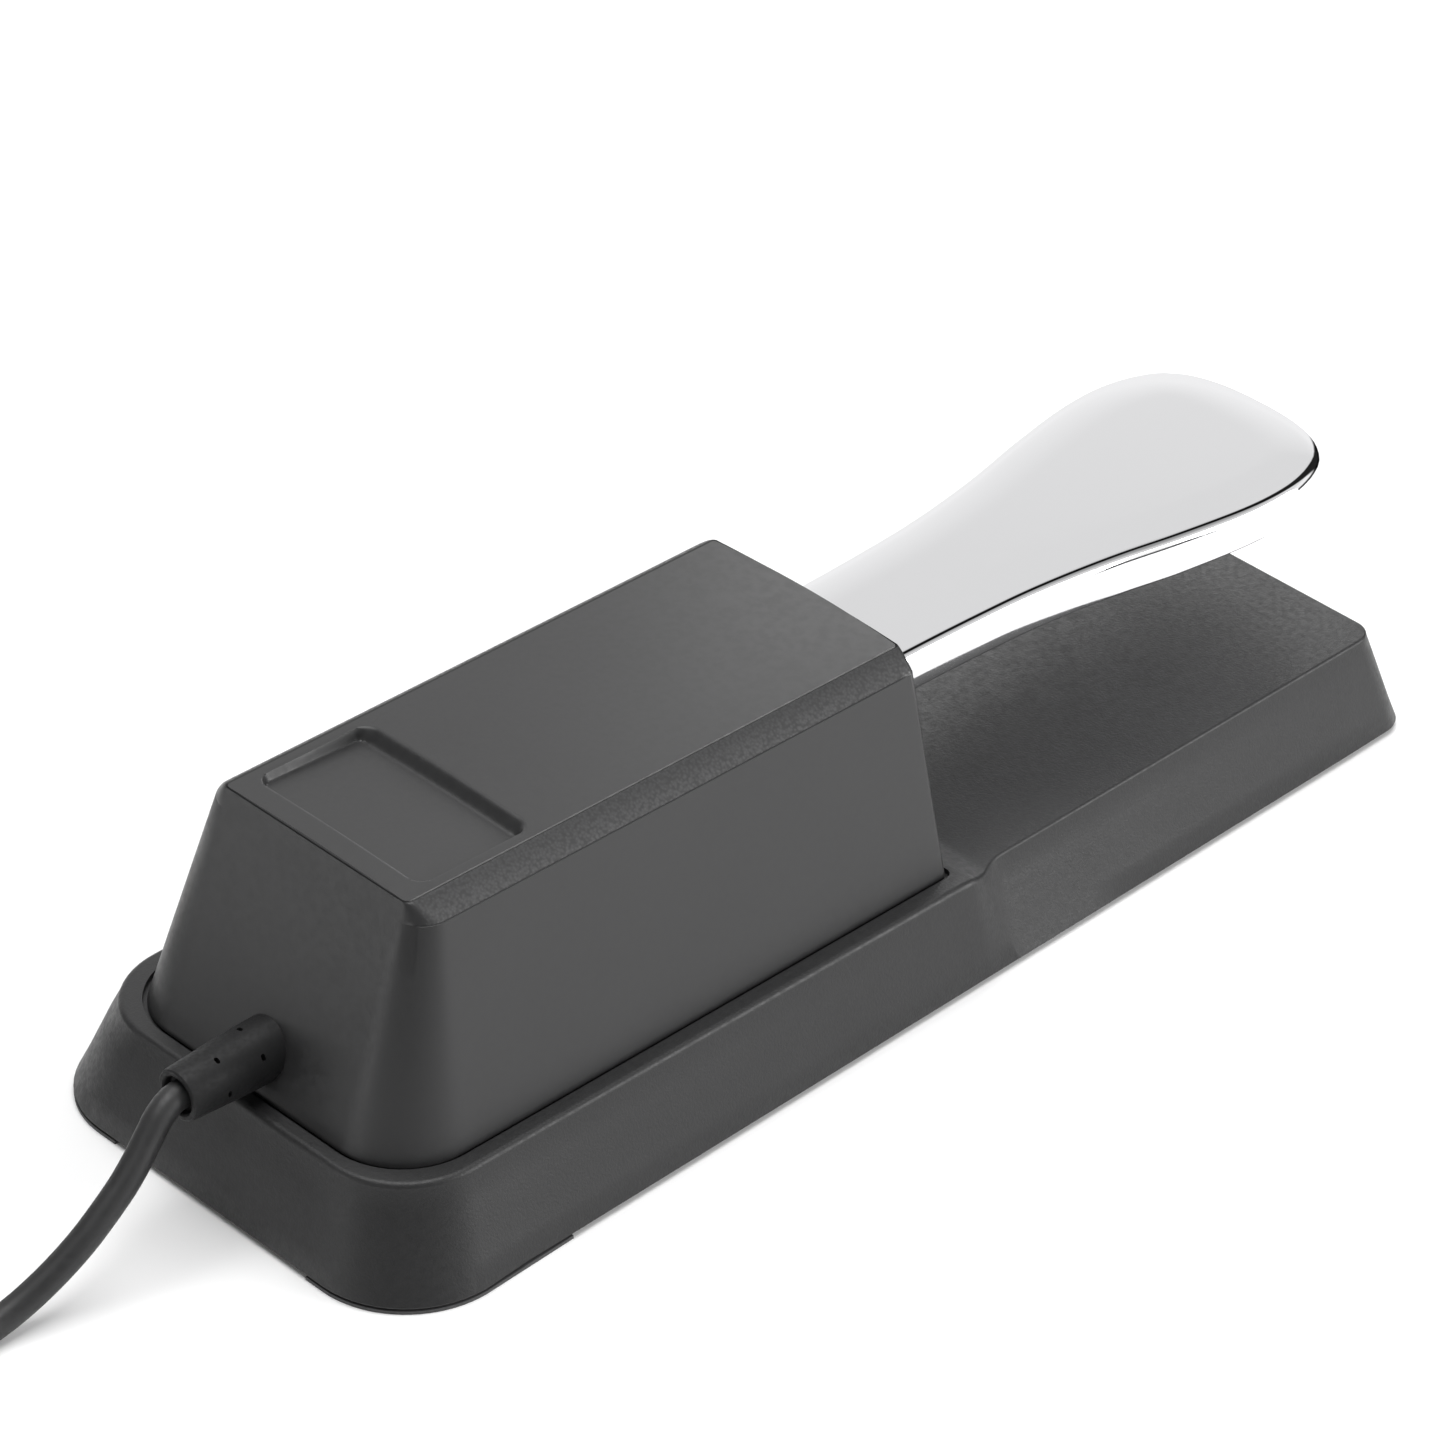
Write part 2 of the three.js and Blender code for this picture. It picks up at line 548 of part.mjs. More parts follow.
// A band over the coil, at its side away from the pedal.
function cordTie() {
  const y = COIL_Y;
  const x0 = COIL_X - COIL_OUT - 1.2;
  const x1 = COIL_X - COIL_IN + 2;
  const z1 = COIL_H + 1.3;
  const band = box(x0, x1, y - 4, y + 4, 0.02, z1);
  return cut(solid(band), box(x0 + 0.9, x1 - 0.9, y - 5, y + 5, -1, z1 - 0.9));
}

function boot() {
  const profile = [[0, 97.5], [7, 97.5], [7, 99.8], [BOOT_R, 99.8], [BOOT_R, 108.6], [4.5, BOOT_END_Y],
    [3.3, BOOT_END_Y], [3.3, 121], [0, 121]];
  return turnedY(profile, 28).translate(0, 0, CORD_Z);
}

function plugPiece(profile, segments = 24) {
  return turnedY(profile.map(([r, y]) => [r, -y]).reverse(), segments).translate(PLUG_X, PLUG_Y, PLUG_Z);
}

// ---- assembly ----
add('base_shell', baseShell(), ABS);
add('bottom_plate', bottomPlate(), STEEL);
for (const [rear, end] of [[true, 'rear'], [false, 'front']]) {
  add(`rubber_foot_${end}_left`, cornerPad(-1, rear), RUBBER);
  add(`rubber_foot_${end}_right`, cornerPad(1, rear), RUBBER);
}
add('housing_cover', housingCover(), ABS);
add('pedal_lever', pedalLever(), CHROME);
add('lever_bush_left', leverBush(-1), NYLON);
add('lever_bush_right', leverBush(1), NYLON);
add('pivot_bracket', pivotBracket(), STEEL);
add('pivot_axle', pivotAxle(), STEEL);
add('axle_clip_left', axleClip(-1), SPRING_STEEL);
add('axle_clip_right', axleClip(1), SPRING_STEEL);
add('return_spring', returnSpring(), SPRING_STEEL);
add('spring_seat', springSeat(), NYLON);
add('spring_cap', springCap(), NYLON);
add('stop_bracket', stopBracket(), STEEL);
add('up_stop_felt', box(-11, 11, STOP_Y - 4, STOP_Y + 4, LEVER_TOP_Z + GAP, STOP_BAR_Z - GAP), FELT);
add('down_stop_bumper', box(-13, 13, STOP_Y - 4, STOP_Y + 4, DECK_Z + GAP, 32), RUBBER);
add('circuit_board', circuitBoard(), BOARD);
add('switch_body', switchBody(), ABS);
add('switch_plunger', switchPlunger(), NYLON);

COVER_SCREWS.forEach(([x, y], i) => screw(`cover_screw_${i + 1}`, x, y, DECK_UNDER_Z - GAP - 1.6, 16));
PLATE_SCREWS.forEach(([x, y], i) => screw(`plate_screw_${i + 1}`, x, y, PLATE_LOW - GAP - 1.6, 10));
BRACKET_SCREWS.forEach(([x, y], i) => screw(`bracket_screw_${i + 1}`, x, y, DECK_Z + 2 * GAP + SHEET + 1.6, 7, true));
STOP_SCREWS.forEach(([x, y], i) => screw(`stop_screw_${i + 1}`, x, y, DECK_Z + 2 * GAP + SHEET + 1.6, 7, true));
BOARD_SCREWS.forEach(([x, y], i) => screw(`board_screw_${i + 1}`, x, y, BOARD_Z + 1.6 + GAP + 1.6, 7, true));

add('strain_relief_boot', boot(), RUBBER);
add('inner_cord_tail', tube([[0, 97.2, CORD_Z], [0, 95.4, CORD_Z], [0, 93.6, CORD_Z]], CORD_D, 2), PVC);
for (const [side, end] of [[-1, 'left'], [1, 'right']]) {
  const route = [[side * 1.2, 93.3, CORD_Z], [side * 1.6, 84, 25.2], [side * 2.4, 72, 25.6], [side * 3.2, 64, 27.6],
    [side * 3.6, 58.6, 28.6], [side * 3.6, 56.6, 27.9]];
  add(`inner_lead_${end}`, tube(route, 1.3, 12, 8), side < 0 ? NYLON : PVC);
}
add('cord', tube(CORD_ROUTE, CORD_D, 44), PVC);
add('cord_coil', cordCoil(), PVC);
add('cord_end', tube(CORD_END_ROUTE, CORD_D, 3), PVC);
add('cord_tie', cordTie(), RUBBER);
add('plug_relief', plugPiece([[0, 0], [3.2, 0], [3.8, 6], [4.4, 12], [0, 12]]), RUBBER);
add('plug_grip', plugPiece([[0, 12.3], [5.2, 12.3], [5.9, 13.6], [5.9, 33], [5.3, 36], [0, 36]], 28), ABS);
add('plug_sleeve', plugPiece([[0, 36.3], [4.6, 36.3], [4.6, 38], [3.15, 38], [3.15, 57], [0, 57]]), NICKEL);
add('plug_insulator', plugPiece([[0, 57.3], [3.1, 57.3], [3.1, 58.6], [0, 58.6]]), RUBBER);
add('plug_tip', plugPiece([[0, 58.9], [2.9, 58.9], [2.1, 61], [2.1, 62.4], [3.1, 64], [2.8, 65], [0.6, 67.2],
  [0, 67.4]]), NICKEL);

// The pedal is drawn about its base, so this moves the middle of its whole length to the origin.
root.position.y = -(LEVER_TIP_Y + BOOT_END_Y) / 2;

export default root;
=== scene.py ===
"""Sustain pedal: the finished look of a piano-style foot pedal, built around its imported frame.

Lengths are millimetres in the drawing's own axes. Names that end in _m, and whatever goes straight to
Blender or to the frame, are in metres. The toe end of the lever points to -Y.
"""

import math

import bmesh
import bpy
from mathutils import Matrix, Vector


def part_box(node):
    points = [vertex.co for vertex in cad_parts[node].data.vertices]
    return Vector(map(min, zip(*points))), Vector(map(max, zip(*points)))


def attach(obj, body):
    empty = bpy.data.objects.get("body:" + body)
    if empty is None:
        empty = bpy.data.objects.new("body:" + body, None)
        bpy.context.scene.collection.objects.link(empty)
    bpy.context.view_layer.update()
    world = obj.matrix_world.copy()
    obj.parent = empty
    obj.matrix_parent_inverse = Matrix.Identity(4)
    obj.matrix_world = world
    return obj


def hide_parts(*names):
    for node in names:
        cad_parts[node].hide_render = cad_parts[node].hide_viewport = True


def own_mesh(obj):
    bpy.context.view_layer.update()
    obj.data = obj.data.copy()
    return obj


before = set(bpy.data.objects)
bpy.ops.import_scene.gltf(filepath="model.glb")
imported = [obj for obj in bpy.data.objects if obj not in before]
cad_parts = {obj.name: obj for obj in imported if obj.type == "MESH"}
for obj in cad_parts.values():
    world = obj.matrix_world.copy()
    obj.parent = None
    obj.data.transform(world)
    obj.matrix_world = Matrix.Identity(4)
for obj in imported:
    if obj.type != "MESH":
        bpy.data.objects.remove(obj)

bl_info = {
    "name": "Sustain Pedal",
    "version": (1, 0, 0),
    "blender": (4, 5, 0),
    "location": "View3D > Sidebar > Pedal",
    "description": "Builds a sustain pedal with a chrome lever, a moulded tower and its signal cord",
    "category": "Add Mesh",
}

MM = 0.001
BODY, LEVER = "pedal_body", "lever"

# In the drawing the base ends at Y 117.5 by the cord; the frame's origin is the middle of the pedal's length.
REAR_END = 117.5
MID_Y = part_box("base_shell")[1][1] / MM - REAR_END


def lerp(a, b, t):
    return a + (b - a) * t


def clamp01(t):
    return min(max(t, 0.0), 1.0)


def smooth(t):
    t = clamp01(t)
    return t * t * (3 - 2 * t)


def place(x, y, z):
    """A point of the drawing, in metres in the frame's axes."""
    return Vector((x * MM, (y + MID_Y) * MM, z * MM))


# ---------------------------------------------------------------- settings


class PedalSizes(bpy.types.PropertyGroup):
    rim_rounding: bpy.props.FloatProperty(
        name="Rim rounding", description="Radius along the base's upper edge, in mm",
        default=1.15, min=0.3, max=3)
    top_crown: bpy.props.FloatProperty(
        name="Top crown", description="How far the tower's top rises at its middle, in mm",
        default=0.4, min=0, max=2)
    recess_depth: bpy.props.FloatProperty(
        name="Recess depth", description="Depth of the tower's recess at its lever side, in mm",
        default=2.0, min=0, max=4)
    lever_rounding: bpy.props.FloatProperty(
        name="Lever rounding", description="Width of the lever's rounded edge, in mm",
        default=2.0, min=0.5, max=4)
    cord_diameter: bpy.props.FloatProperty(
        name="Cord diameter", description="Outer diameter of the cord",
        default=4.8 * MM, min=3 * MM, max=7 * MM, unit="LENGTH")
    boot_slots: bpy.props.IntProperty(
        name="Boot slots", description="Rows of flex slots along the strain relief", default=2, min=0, max=5)


class PedalColours(bpy.types.PropertyGroup):
    body_black: bpy.props.FloatVectorProperty(
        name="Body black", description="Moulded base and tower", subtype="COLOR",
        default=(0.019, 0.019, 0.0195), min=0, max=1)
    rubber_black: bpy.props.FloatVectorProperty(
        name="Rubber black", description="Boot, stops and coil strap", subtype="COLOR",
        default=(0.011, 0.011, 0.0115), min=0, max=1)
    # The feet's grey is lighter than the body black: painted light that lifts the contact shadow they sit in.
    foot_grey_shadow_lift: bpy.props.FloatVectorProperty(
        name="Foot grey", description="Rubber of the feet", subtype="COLOR",
        default=(0.06, 0.06, 0.061), min=0, max=1)
    cord_black: bpy.props.FloatVectorProperty(
        name="Cord black", description="Jacket of the cord", subtype="COLOR",
        default=(0.018, 0.018, 0.0185), min=0, max=1)
    chrome_tint: bpy.props.FloatVectorProperty(
        name="Chrome", description="Plating of the lever", subtype="COLOR",
        default=(0.86, 0.86, 0.87), min=0, max=1)
    felt_red: bpy.props.FloatVectorProperty(
        name="Felt", description="Felt of the upper stop", subtype="COLOR",
        default=(0.19, 0.015, 0.02), min=0, max=1)


class PedalStage(bpy.types.PropertyGroup):
    lens: bpy.props.FloatProperty(
        name="Lens", description="Focal length of the camera, in mm", default=166.07)
    azimuth: bpy.props.FloatProperty(
        name="Azimuth", description="Where the camera stands around the pedal", subtype="ANGLE",
        default=math.radians(226.46))
    elevation: bpy.props.FloatProperty(
        name="Elevation", description="How high the camera stands", subtype="ANGLE",
        default=math.radians(34.72))
    distance: bpy.props.FloatProperty(
        name="Distance", description="From the camera to the point it looks at", default=1.115, unit="LENGTH")
    floor_shade: bpy.props.FloatVectorProperty(
        name="Floor", description="Colour of the floor", subtype="COLOR",
        default=(0.95, 0.95, 0.95), min=0, max=1)
    top_light: bpy.props.FloatProperty(
        name="Top light", description="Power of the softbox overhead, in watts", default=16.0, min=0)
    side_light: bpy.props.FloatProperty(
        name="Side light", description="Power of the softbox beside the pedal, in watts", default=16.0, min=0)
    toe_light: bpy.props.FloatProperty(
        name="Toe light", description="Power of the low softbox past the toe end, in watts",
        default=0.2, min=0)
    rear_light: bpy.props.FloatProperty(
        name="Rear light", description="Power of the low softbox behind the pedal, in watts",
        default=1.1, min=0)
    surround: bpy.props.FloatProperty(
        name="Surround", description="Brightness of the white studio around the pedal", default=1.0, min=0)


# ---------------------------------------------------------------- finishes


class Finish:
    """A node material for one finish, with short helpers for its texture nodes."""

    def __init__(self, name, colour, roughness, metallic=0.0, specular=0.5):
        self.material = bpy.data.materials.new(name)
        self.material.use_nodes = True
        self.tree = self.material.node_tree
        self.shader = self.tree.nodes["Principled BSDF"]
        self.shader.inputs["Base Color"].default_value = (*colour, 1)
        self.shader.inputs["Roughness"].default_value = roughness
        self.shader.inputs["Metallic"].default_value = metallic
        self.shader.inputs["Specular IOR Level"].default_value = specular
        self.material.diffuse_color = (*colour, 1)
        self.coords = self.tree.nodes.new("ShaderNodeTexCoord").outputs["Object"]
        self.normal = None

    def node(self, kind, **values):
        found = self.tree.nodes.new(kind)
        for key, value in values.items():
            if key in found.inputs:
                found.inputs[key].default_value = value
            else:
                setattr(found, key, value)
        return found

    def link(self, out, into):
        self.tree.links.new(out, into)

    def stretched(self, x, y, z):
        mapping = self.node("ShaderNodeMapping")
        mapping.inputs["Scale"].default_value = (x, y, z)
        self.link(self.coords, mapping.inputs["Vector"])
        return mapping.outputs["Vector"]

    def noise(self, scale, detail=2.0, roughness=0.5, vector=None):
        texture = self.node("ShaderNodeTexNoise", Scale=scale, Detail=detail, Roughness=roughness)
        self.link(vector or self.coords, texture.inputs["Vector"])
        return texture.outputs["Fac"]

    def cells(self, scale, feature="SMOOTH_F1"):
        texture = self.node("ShaderNodeTexVoronoi", Scale=scale, feature=feature)
        self.link(self.coords, texture.inputs["Vector"])
        return texture.outputs["Distance"]

    def ramp(self, value, low, high, start=0.3, end=0.7):
        """A number eased from low to high while value goes from start to end."""
        node = self.node("ShaderNodeMapRange", interpolation_type="SMOOTHSTEP")
        node.inputs["From Min"].default_value = start
        node.inputs["From Max"].default_value = end
        node.inputs["To Min"].default_value = low
        node.inputs["To Max"].default_value = high
        self.link(value, node.inputs["Value"])
        return node.outputs["Result"]

    def blend(self, value, low, high, start=0.3, end=0.7):
        """A colour blended from low to high while value goes from start to end."""
        node = self.node("ShaderNodeValToRGB")
        node.color_ramp.elements[0].position = start
        node.color_ramp.elements[0].color = (*low, 1)
        node.color_ramp.elements[1].position = end
        node.color_ramp.elements[1].color = (*high, 1)
        self.link(value, node.inputs["Fac"])
        return node.outputs["Color"]

    def bump(self, height, strength, distance):
        """Adds relief distance deep, in mm, over any relief added before."""
        node = self.node("ShaderNodeBump", Strength=strength, Distance=distance * MM)
        self.link(height, node.inputs["Height"])
        if self.normal is not None:
            self.link(self.normal, node.inputs["Normal"])
        self.normal = node.outputs["Normal"]
        self.link(self.normal, self.shader.inputs["Normal"])

    def colour(self, out):
        self.link(out, self.shader.inputs["Base Color"])

    def rough(self, out):
        self.link(out, self.shader.inputs["Roughness"])


def scaled(colour, k):
    return tuple(min(c * k, 1.0) for c in colour)


def satin_abs(colour):
    """Moulded plastic with a fine sandblast grain that catches highlights."""
    finish = Finish("satin_abs", colour, 0.42, specular=0.38)
    finish.colour(finish.blend(finish.noise(60, 4), scaled(colour, 0.93), scaled(colour, 1.07)))
    finish.rough(finish.ramp(finish.noise(900, 3), 0.37, 0.49))
    finish.bump(finish.noise(2100, 2, 0.6), 0.9, 0.05)
    finish.bump(finish.noise(7000, 2, 0.6), 0.4, 0.01)
    return finish.material


def tower_satin(colour):
    """The smoother satin of the tower's walls and top."""
    finish = Finish("tower_satin", colour, 0.4)
    finish.colour(finish.blend(finish.noise(45, 4), scaled(colour, 0.95), scaled(colour, 1.05)))
    finish.rough(finish.ramp(finish.noise(700, 3), 0.35, 0.44))
    finish.bump(finish.noise(5200, 2, 0.6), 0.3, 0.008)
    return finish.material


def shoulder_grain(colour):
    """The leather-like grain moulded along the tower's shoulders."""
    finish = Finish("shoulder_grain", scaled(colour, 1.12), 0.5)
    pebbles = finish.cells(2100)
    finish.colour(finish.blend(pebbles, scaled(colour, 2.2), scaled(colour, 0.8), 0.05, 0.6))
    finish.rough(finish.ramp(pebbles, 0.34, 0.6, 0.1, 0.7))
    finish.bump(pebbles, -1.0, 0.2)
    return finish.material


def chrome_plate(colour):
    finish = Finish("chrome_plate", colour, 0.05, metallic=1.0)
    finish.rough(finish.ramp(finish.noise(240, 3), 0.035, 0.07))
    finish.bump(finish.noise(70, 1), 0.02, 0.05)
    return finish.material


def soft_rubber(colour):
    finish = Finish("soft_rubber", colour, 0.55, specular=0.25)
    finish.colour(finish.blend(finish.noise(160, 4), scaled(colour, 0.85), scaled(colour, 1.2)))
    finish.rough(finish.ramp(finish.noise(1400, 3), 0.46, 0.62))
    finish.bump(finish.noise(3200, 3, 0.6), 0.35, 0.02)
    return finish.material


def foot_rubber(colour):
    """The firmer rubber of the feet, a lighter grey than the base as painted light that lifts their contact
    shadow.
    """
    finish = Finish("foot_rubber", colour, 0.6, specular=0.4)
    finish.colour(finish.blend(finish.noise(200, 3), scaled(colour, 0.88), scaled(colour, 1.12)))
    finish.rough(finish.ramp(finish.noise(1500, 3), 0.52, 0.7))
    finish.bump(finish.noise(3000, 3), 0.3, 0.02)
    return finish.material


def cord_jacket(colour):
    finish = Finish("cord_jacket", colour, 0.46, specular=0.45)
    finish.colour(finish.blend(finish.noise(120, 3), scaled(colour, 0.9), scaled(colour, 1.12)))
    finish.rough(finish.ramp(finish.noise(800, 3), 0.4, 0.54))
    finish.bump(finish.noise(1900, 2), 0.2, 0.02)
    return finish.material


def zinc_steel():
    finish = Finish("zinc_steel", (0.42, 0.43, 0.44), 0.34, metallic=1.0)
    spangle = finish.cells(260, "F1")
    finish.colour(finish.blend(spangle, (0.36, 0.37, 0.39), (0.5, 0.51, 0.52), 0.1, 0.7))
    finish.rough(finish.ramp(finish.noise(1500, 3), 0.26, 0.44))
    finish.bump(finish.noise(3000, 2), 0.15, 0.01)
    return finish.material


def drawn_wire():
    finish = Finish("drawn_wire", (0.3, 0.31, 0.33), 0.28, metallic=1.0)
    finish.rough(finish.ramp(finish.noise(2600, 3), 0.2, 0.38))
    finish.colour(finish.blend(finish.noise(500, 2), (0.24, 0.25, 0.27), (0.38, 0.39, 0.4)))
    return finish.material


def natural_nylon():
    finish = Finish("natural_nylon", (0.72, 0.69, 0.6), 0.45)
    finish.shader.inputs["Subsurface Weight"].default_value = 0.15
    finish.shader.inputs["Subsurface Radius"].default_value = (0.002, 0.0015, 0.001)
    finish.colour(finish.blend(finish.noise(300, 3), (0.66, 0.63, 0.54), (0.76, 0.73, 0.65)))
    finish.rough(finish.ramp(finish.noise(1800, 2), 0.38, 0.52))
    return finish.material


def pressed_felt(colour):
    finish = Finish("pressed_felt", colour, 0.95, specular=0.2)
    finish.shader.inputs["Sheen Weight"].default_value = 0.5
    fibres = finish.noise(1500, 6, 0.7, finish.stretched(1, 1, 2.5))
    finish.colour(finish.blend(fibres, scaled(colour, 0.6), scaled(colour, 1.4)))
    finish.bump(fibres, 0.8, 0.15)
    return finish.material


def board_mask():
    """Green solder mask with faint tracks under it."""
    finish = Finish("board_mask", (0.013, 0.1, 0.035), 0.4)
    tracks = finish.node("ShaderNodeTexWave", Scale=70, Distortion=3.0)
    tracks.inputs["Detail"].default_value = 1.0
    finish.link(finish.coords, tracks.inputs["Vector"])
    finish.colour(finish.blend(tracks.outputs["Fac"], (0.01, 0.075, 0.025), (0.02, 0.14, 0.05), 0.45, 0.55))
    finish.bump(tracks.outputs["Fac"], 0.3, 0.03)
    return finish.material


def nickel_plate():
    finish = Finish("nickel_plate", (0.66, 0.63, 0.58), 0.16, metallic=1.0)
    finish.rough(finish.ramp(finish.noise(1200, 3, 0.5, finish.stretched(1, 8, 1)), 0.1, 0.24))
    return finish.material


def wire_sleeve(name, colour):
    finish = Finish(name, colour, 0.4)
    finish.colour(finish.blend(finish.noise(700, 2), scaled(colour, 0.85), scaled(colour, 1.1)))
    return finish.material


FINISHES = {}


def prepare_finishes(colours):
    FINISHES.update(
        satin_abs=satin_abs(colours.body_black),
        tower_satin=tower_satin(colours.body_black),
        shoulder_grain=shoulder_grain(colours.body_black),
        chrome_plate=chrome_plate(colours.chrome_tint),
        soft_rubber=soft_rubber(colours.rubber_black),
        foot_rubber=foot_rubber(colours.foot_grey_shadow_lift),
        cord_jacket=cord_jacket(colours.cord_black),
        zinc_steel=zinc_steel(),
        drawn_wire=drawn_wire(),
        natural_nylon=natural_nylon(),
        pressed_felt=pressed_felt(colours.felt_red),
        board_mask=board_mask(),
        nickel_plate=nickel_plate(),
        white_lead=wire_sleeve("white_lead", (0.7, 0.69, 0.66)),
        black_lead=wire_sleeve("black_lead", (0.03, 0.03, 0.03)),
    )


# ---------------------------------------------------------------- mesh helpers


def add_piece(name, bm, finishes, body, stands_for=(), sharp=32, cutters=()):
    """Turns a bmesh drawn in metres into a piece that rides on a body."""
    bmesh.ops.recalc_face_normals(bm, faces=bm.faces)
    mesh = bpy.data.meshes.new(name)
    bm.to_mesh(mesh)
    bm.free()
    for finish in finishes:
        mesh.materials.append(FINISHES[finish])
    piece = bpy.data.objects.new(name, mesh)
    bpy.context.scene.collection.objects.link(piece)
    for cutter in cutters:
        carve(piece, cutter)
    piece.data.shade_smooth()
    piece.data.set_sharp_from_angle(angle=math.radians(sharp))
    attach(piece, body)
    if stands_for:
        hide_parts(*stands_for)
    return piece


def carve(piece, bm):
    """Cuts the solid in bm out of the piece."""
    bmesh.ops.recalc_face_normals(bm, faces=bm.faces)
    mesh = bpy.data.meshes.new("cutter")
    bm.to_mesh(mesh)
    bm.free()
    cutter = bpy.data.objects.new("cutter", mesh)
    bpy.context.scene.collection.objects.link(cutter)
    modifier = piece.modifiers.new("cut", "BOOLEAN")
    modifier.operation = "DIFFERENCE"
    modifier.solver = "EXACT"
    modifier.object = cutter
    graph = bpy.context.evaluated_depsgraph_get()
    carved = bpy.data.meshes.new_from_object(piece.evaluated_get(graph))
    piece.modifiers.clear()
    piece.data = carved
    bpy.data.objects.remove(cutter)


CORNER_STEPS = 14


def side_plan(half, rear, front, r_rear, r_front, stations):
    """The +X side of a block in plan, rear to front, with rounded corners and points at the stations in y.

    half(y) gives the half width.
    """
    points = []

    def arc(cx, cy, r, start, end):
        for i in range(CORNER_STEPS + 1):
            a = lerp(start, end, i / CORNER_STEPS)
            points.append((cx + r * math.cos(a), cy + r * math.sin(a)))

    arc(half(rear) - r_rear, rear - r_rear, r_rear, math.pi / 2, 0)
    points.extend((half(y), y) for y in stations)
    arc(half(front) - r_front, front + r_front, r_front, 0, -math.pi / 2)
    return points


def loft(rings, columns=(), relief=None, strip_finish=None, bow=None):
    """A closed skin through mirror-symmetric rings of (x, y, z), each given down its +X side, rear to front.

    The first and last rings are closed by a grid of rungs, split at the fractions in columns. relief(x, y)
    raises the last ring's grid, bow(x, y, z) moves every point along Y, and strip_finish(strip, centre) gives
    the material index of a face between two rings.
    """
    bm = bmesh.new()
    rows = len(rings[0])

    def vert(x, y, z):
        if bow is not None:
            y += bow(x, y, z)
        return bm.verts.new(place(x, y, z))

    def across(p, q):
        return [vert(*(lerp(a, b, t) for a, b in zip(p, q))) for t in columns]

    levels = []
    for ring in rings:
        mirrored = [(-x, y, z) for x, y, z in ring]
        right = [vert(*p) for p in ring]
        left = [vert(*p) for p in mirrored]
        front = across(ring[-1], mirrored[-1])
        rear = across(mirrored[0], ring[0])
        levels.append((right, left, front, rear, right + front + left[::-1] + rear))
    for s, (low, high) in enumerate(zip(levels, levels[1:])):
        count = len(low[4])
        for i in range(count):
            j = (i + 1) % count
            face = bm.faces.new((low[4][i], low[4][j], high[4][j], high[4][i]))
            if strip_finish is not None:
                face.material_index = strip_finish(s, face.calc_center_median() / MM)
    for ring, (right, left, front, rear, _) in ((rings[0], levels[0]), (rings[-1], levels[-1])):
        grid = []
        for i in range(rows):
            if i == 0:
                middle = rear[::-1]
            elif i == rows - 1:
                middle = front
            else:
                middle = across(ring[i], (-ring[i][0], *ring[i][1:]))
            grid.append([right[i], *middle, left[i]])
        if relief is not None and ring is rings[-1]:
            for vertex in {v for row in grid for v in row}:
                vertex.co.z += relief(vertex.co.x / MM, vertex.co.y / MM - MID_Y) * MM
        for upper, lower in zip(grid, grid[1:]):
            for j in range(len(upper) - 1):
                bm.faces.new((upper[j], upper[j + 1], lower[j + 1], lower[j]))
    return bm


def evenly(count):
    """The fractions that part a width into count equal columns."""
    return [k / count for k in range(1, count)]


def columns_at(spots, half):
    """The fractions across a grid of half width half where columns pass at x = ±spots."""
    near = [(1 - x / half) / 2 for x in sorted(spots, reverse=True)]
    return near + [0.5] + [1 - t for t in reversed(near)]


ON_AXIS = 1e-6


def turned(profile, at, axis="Y", segments=64):
    """A solid turned from (radius, height) pairs along the X or Y axis through the drawing point at."""
    bm = bmesh.new()
    turns = [2 * math.pi * i / segments for i in range(segments)]
    rows = []
    for r, h in profile:
        spots = [(r * math.cos(a), r * math.sin(a)) for a in turns] if r > ON_AXIS else [(0.0, 0.0)]
        offsets = [(h, u, v) if axis == "X" else (u, h, v) for u, v in spots]
        rows.append([bm.verts.new(place(*(c + d for c, d in zip(at, offset)))) for offset in offsets])
    pairs = list(zip(rows, rows[1:]))
    if profile[0][0] > ON_AXIS:
        pairs.append((rows[-1], rows[0]))
    for low, high in pairs:
        for i in range(segments):
            j = (i + 1) % segments
            if len(low) == 1:
                bm.faces.new((low[0], high[j], high[i]))
            elif len(high) == 1:
                bm.faces.new((low[i], low[j], high[0]))
            else:
                bm.faces.new((low[i], low[j], high[j], high[i]))
    return bm


def rounded_block(size, radius, to_place, segments=4):
    """A block with every edge rounded, moved from the origin by the matrix to_place."""
    bm = bmesh.new()
    bmesh.ops.create_cube(bm, size=1)
    bmesh.ops.scale(bm, vec=[s * MM for s in size], verts=bm.verts)
    bmesh.ops.bevel(bm, geom=list(bm.edges), offset=radius * MM, segments=segments, profile=0.5,
                    affect="EDGES")
    bmesh.ops.transform(bm, matrix=to_place, verts=bm.verts)
    return bm


def catmull(points, step):
    """Points about step apart along a smooth curve through the given points."""
    points = [Vector(p) for p in points]
    ends = [2 * points[0] - points[1], *points, 2 * points[-1] - points[-2]]
    found = []
    for i in range(1, len(ends) - 2):
        p0, p1, p2, p3 = ends[i - 1:i + 3]
        count = max(1, round((p2 - p1).length / step))
        for k in range(count):
            t = k / count
            found.append(0.5 * (2 * p1 + (p2 - p0) * t + (2 * p0 - 5 * p1 + 4 * p2 - p3) * t * t
                                + (3 * p1 - p0 - 3 * p2 + p3) * t ** 3))
    found.append(points[-1])
    return found


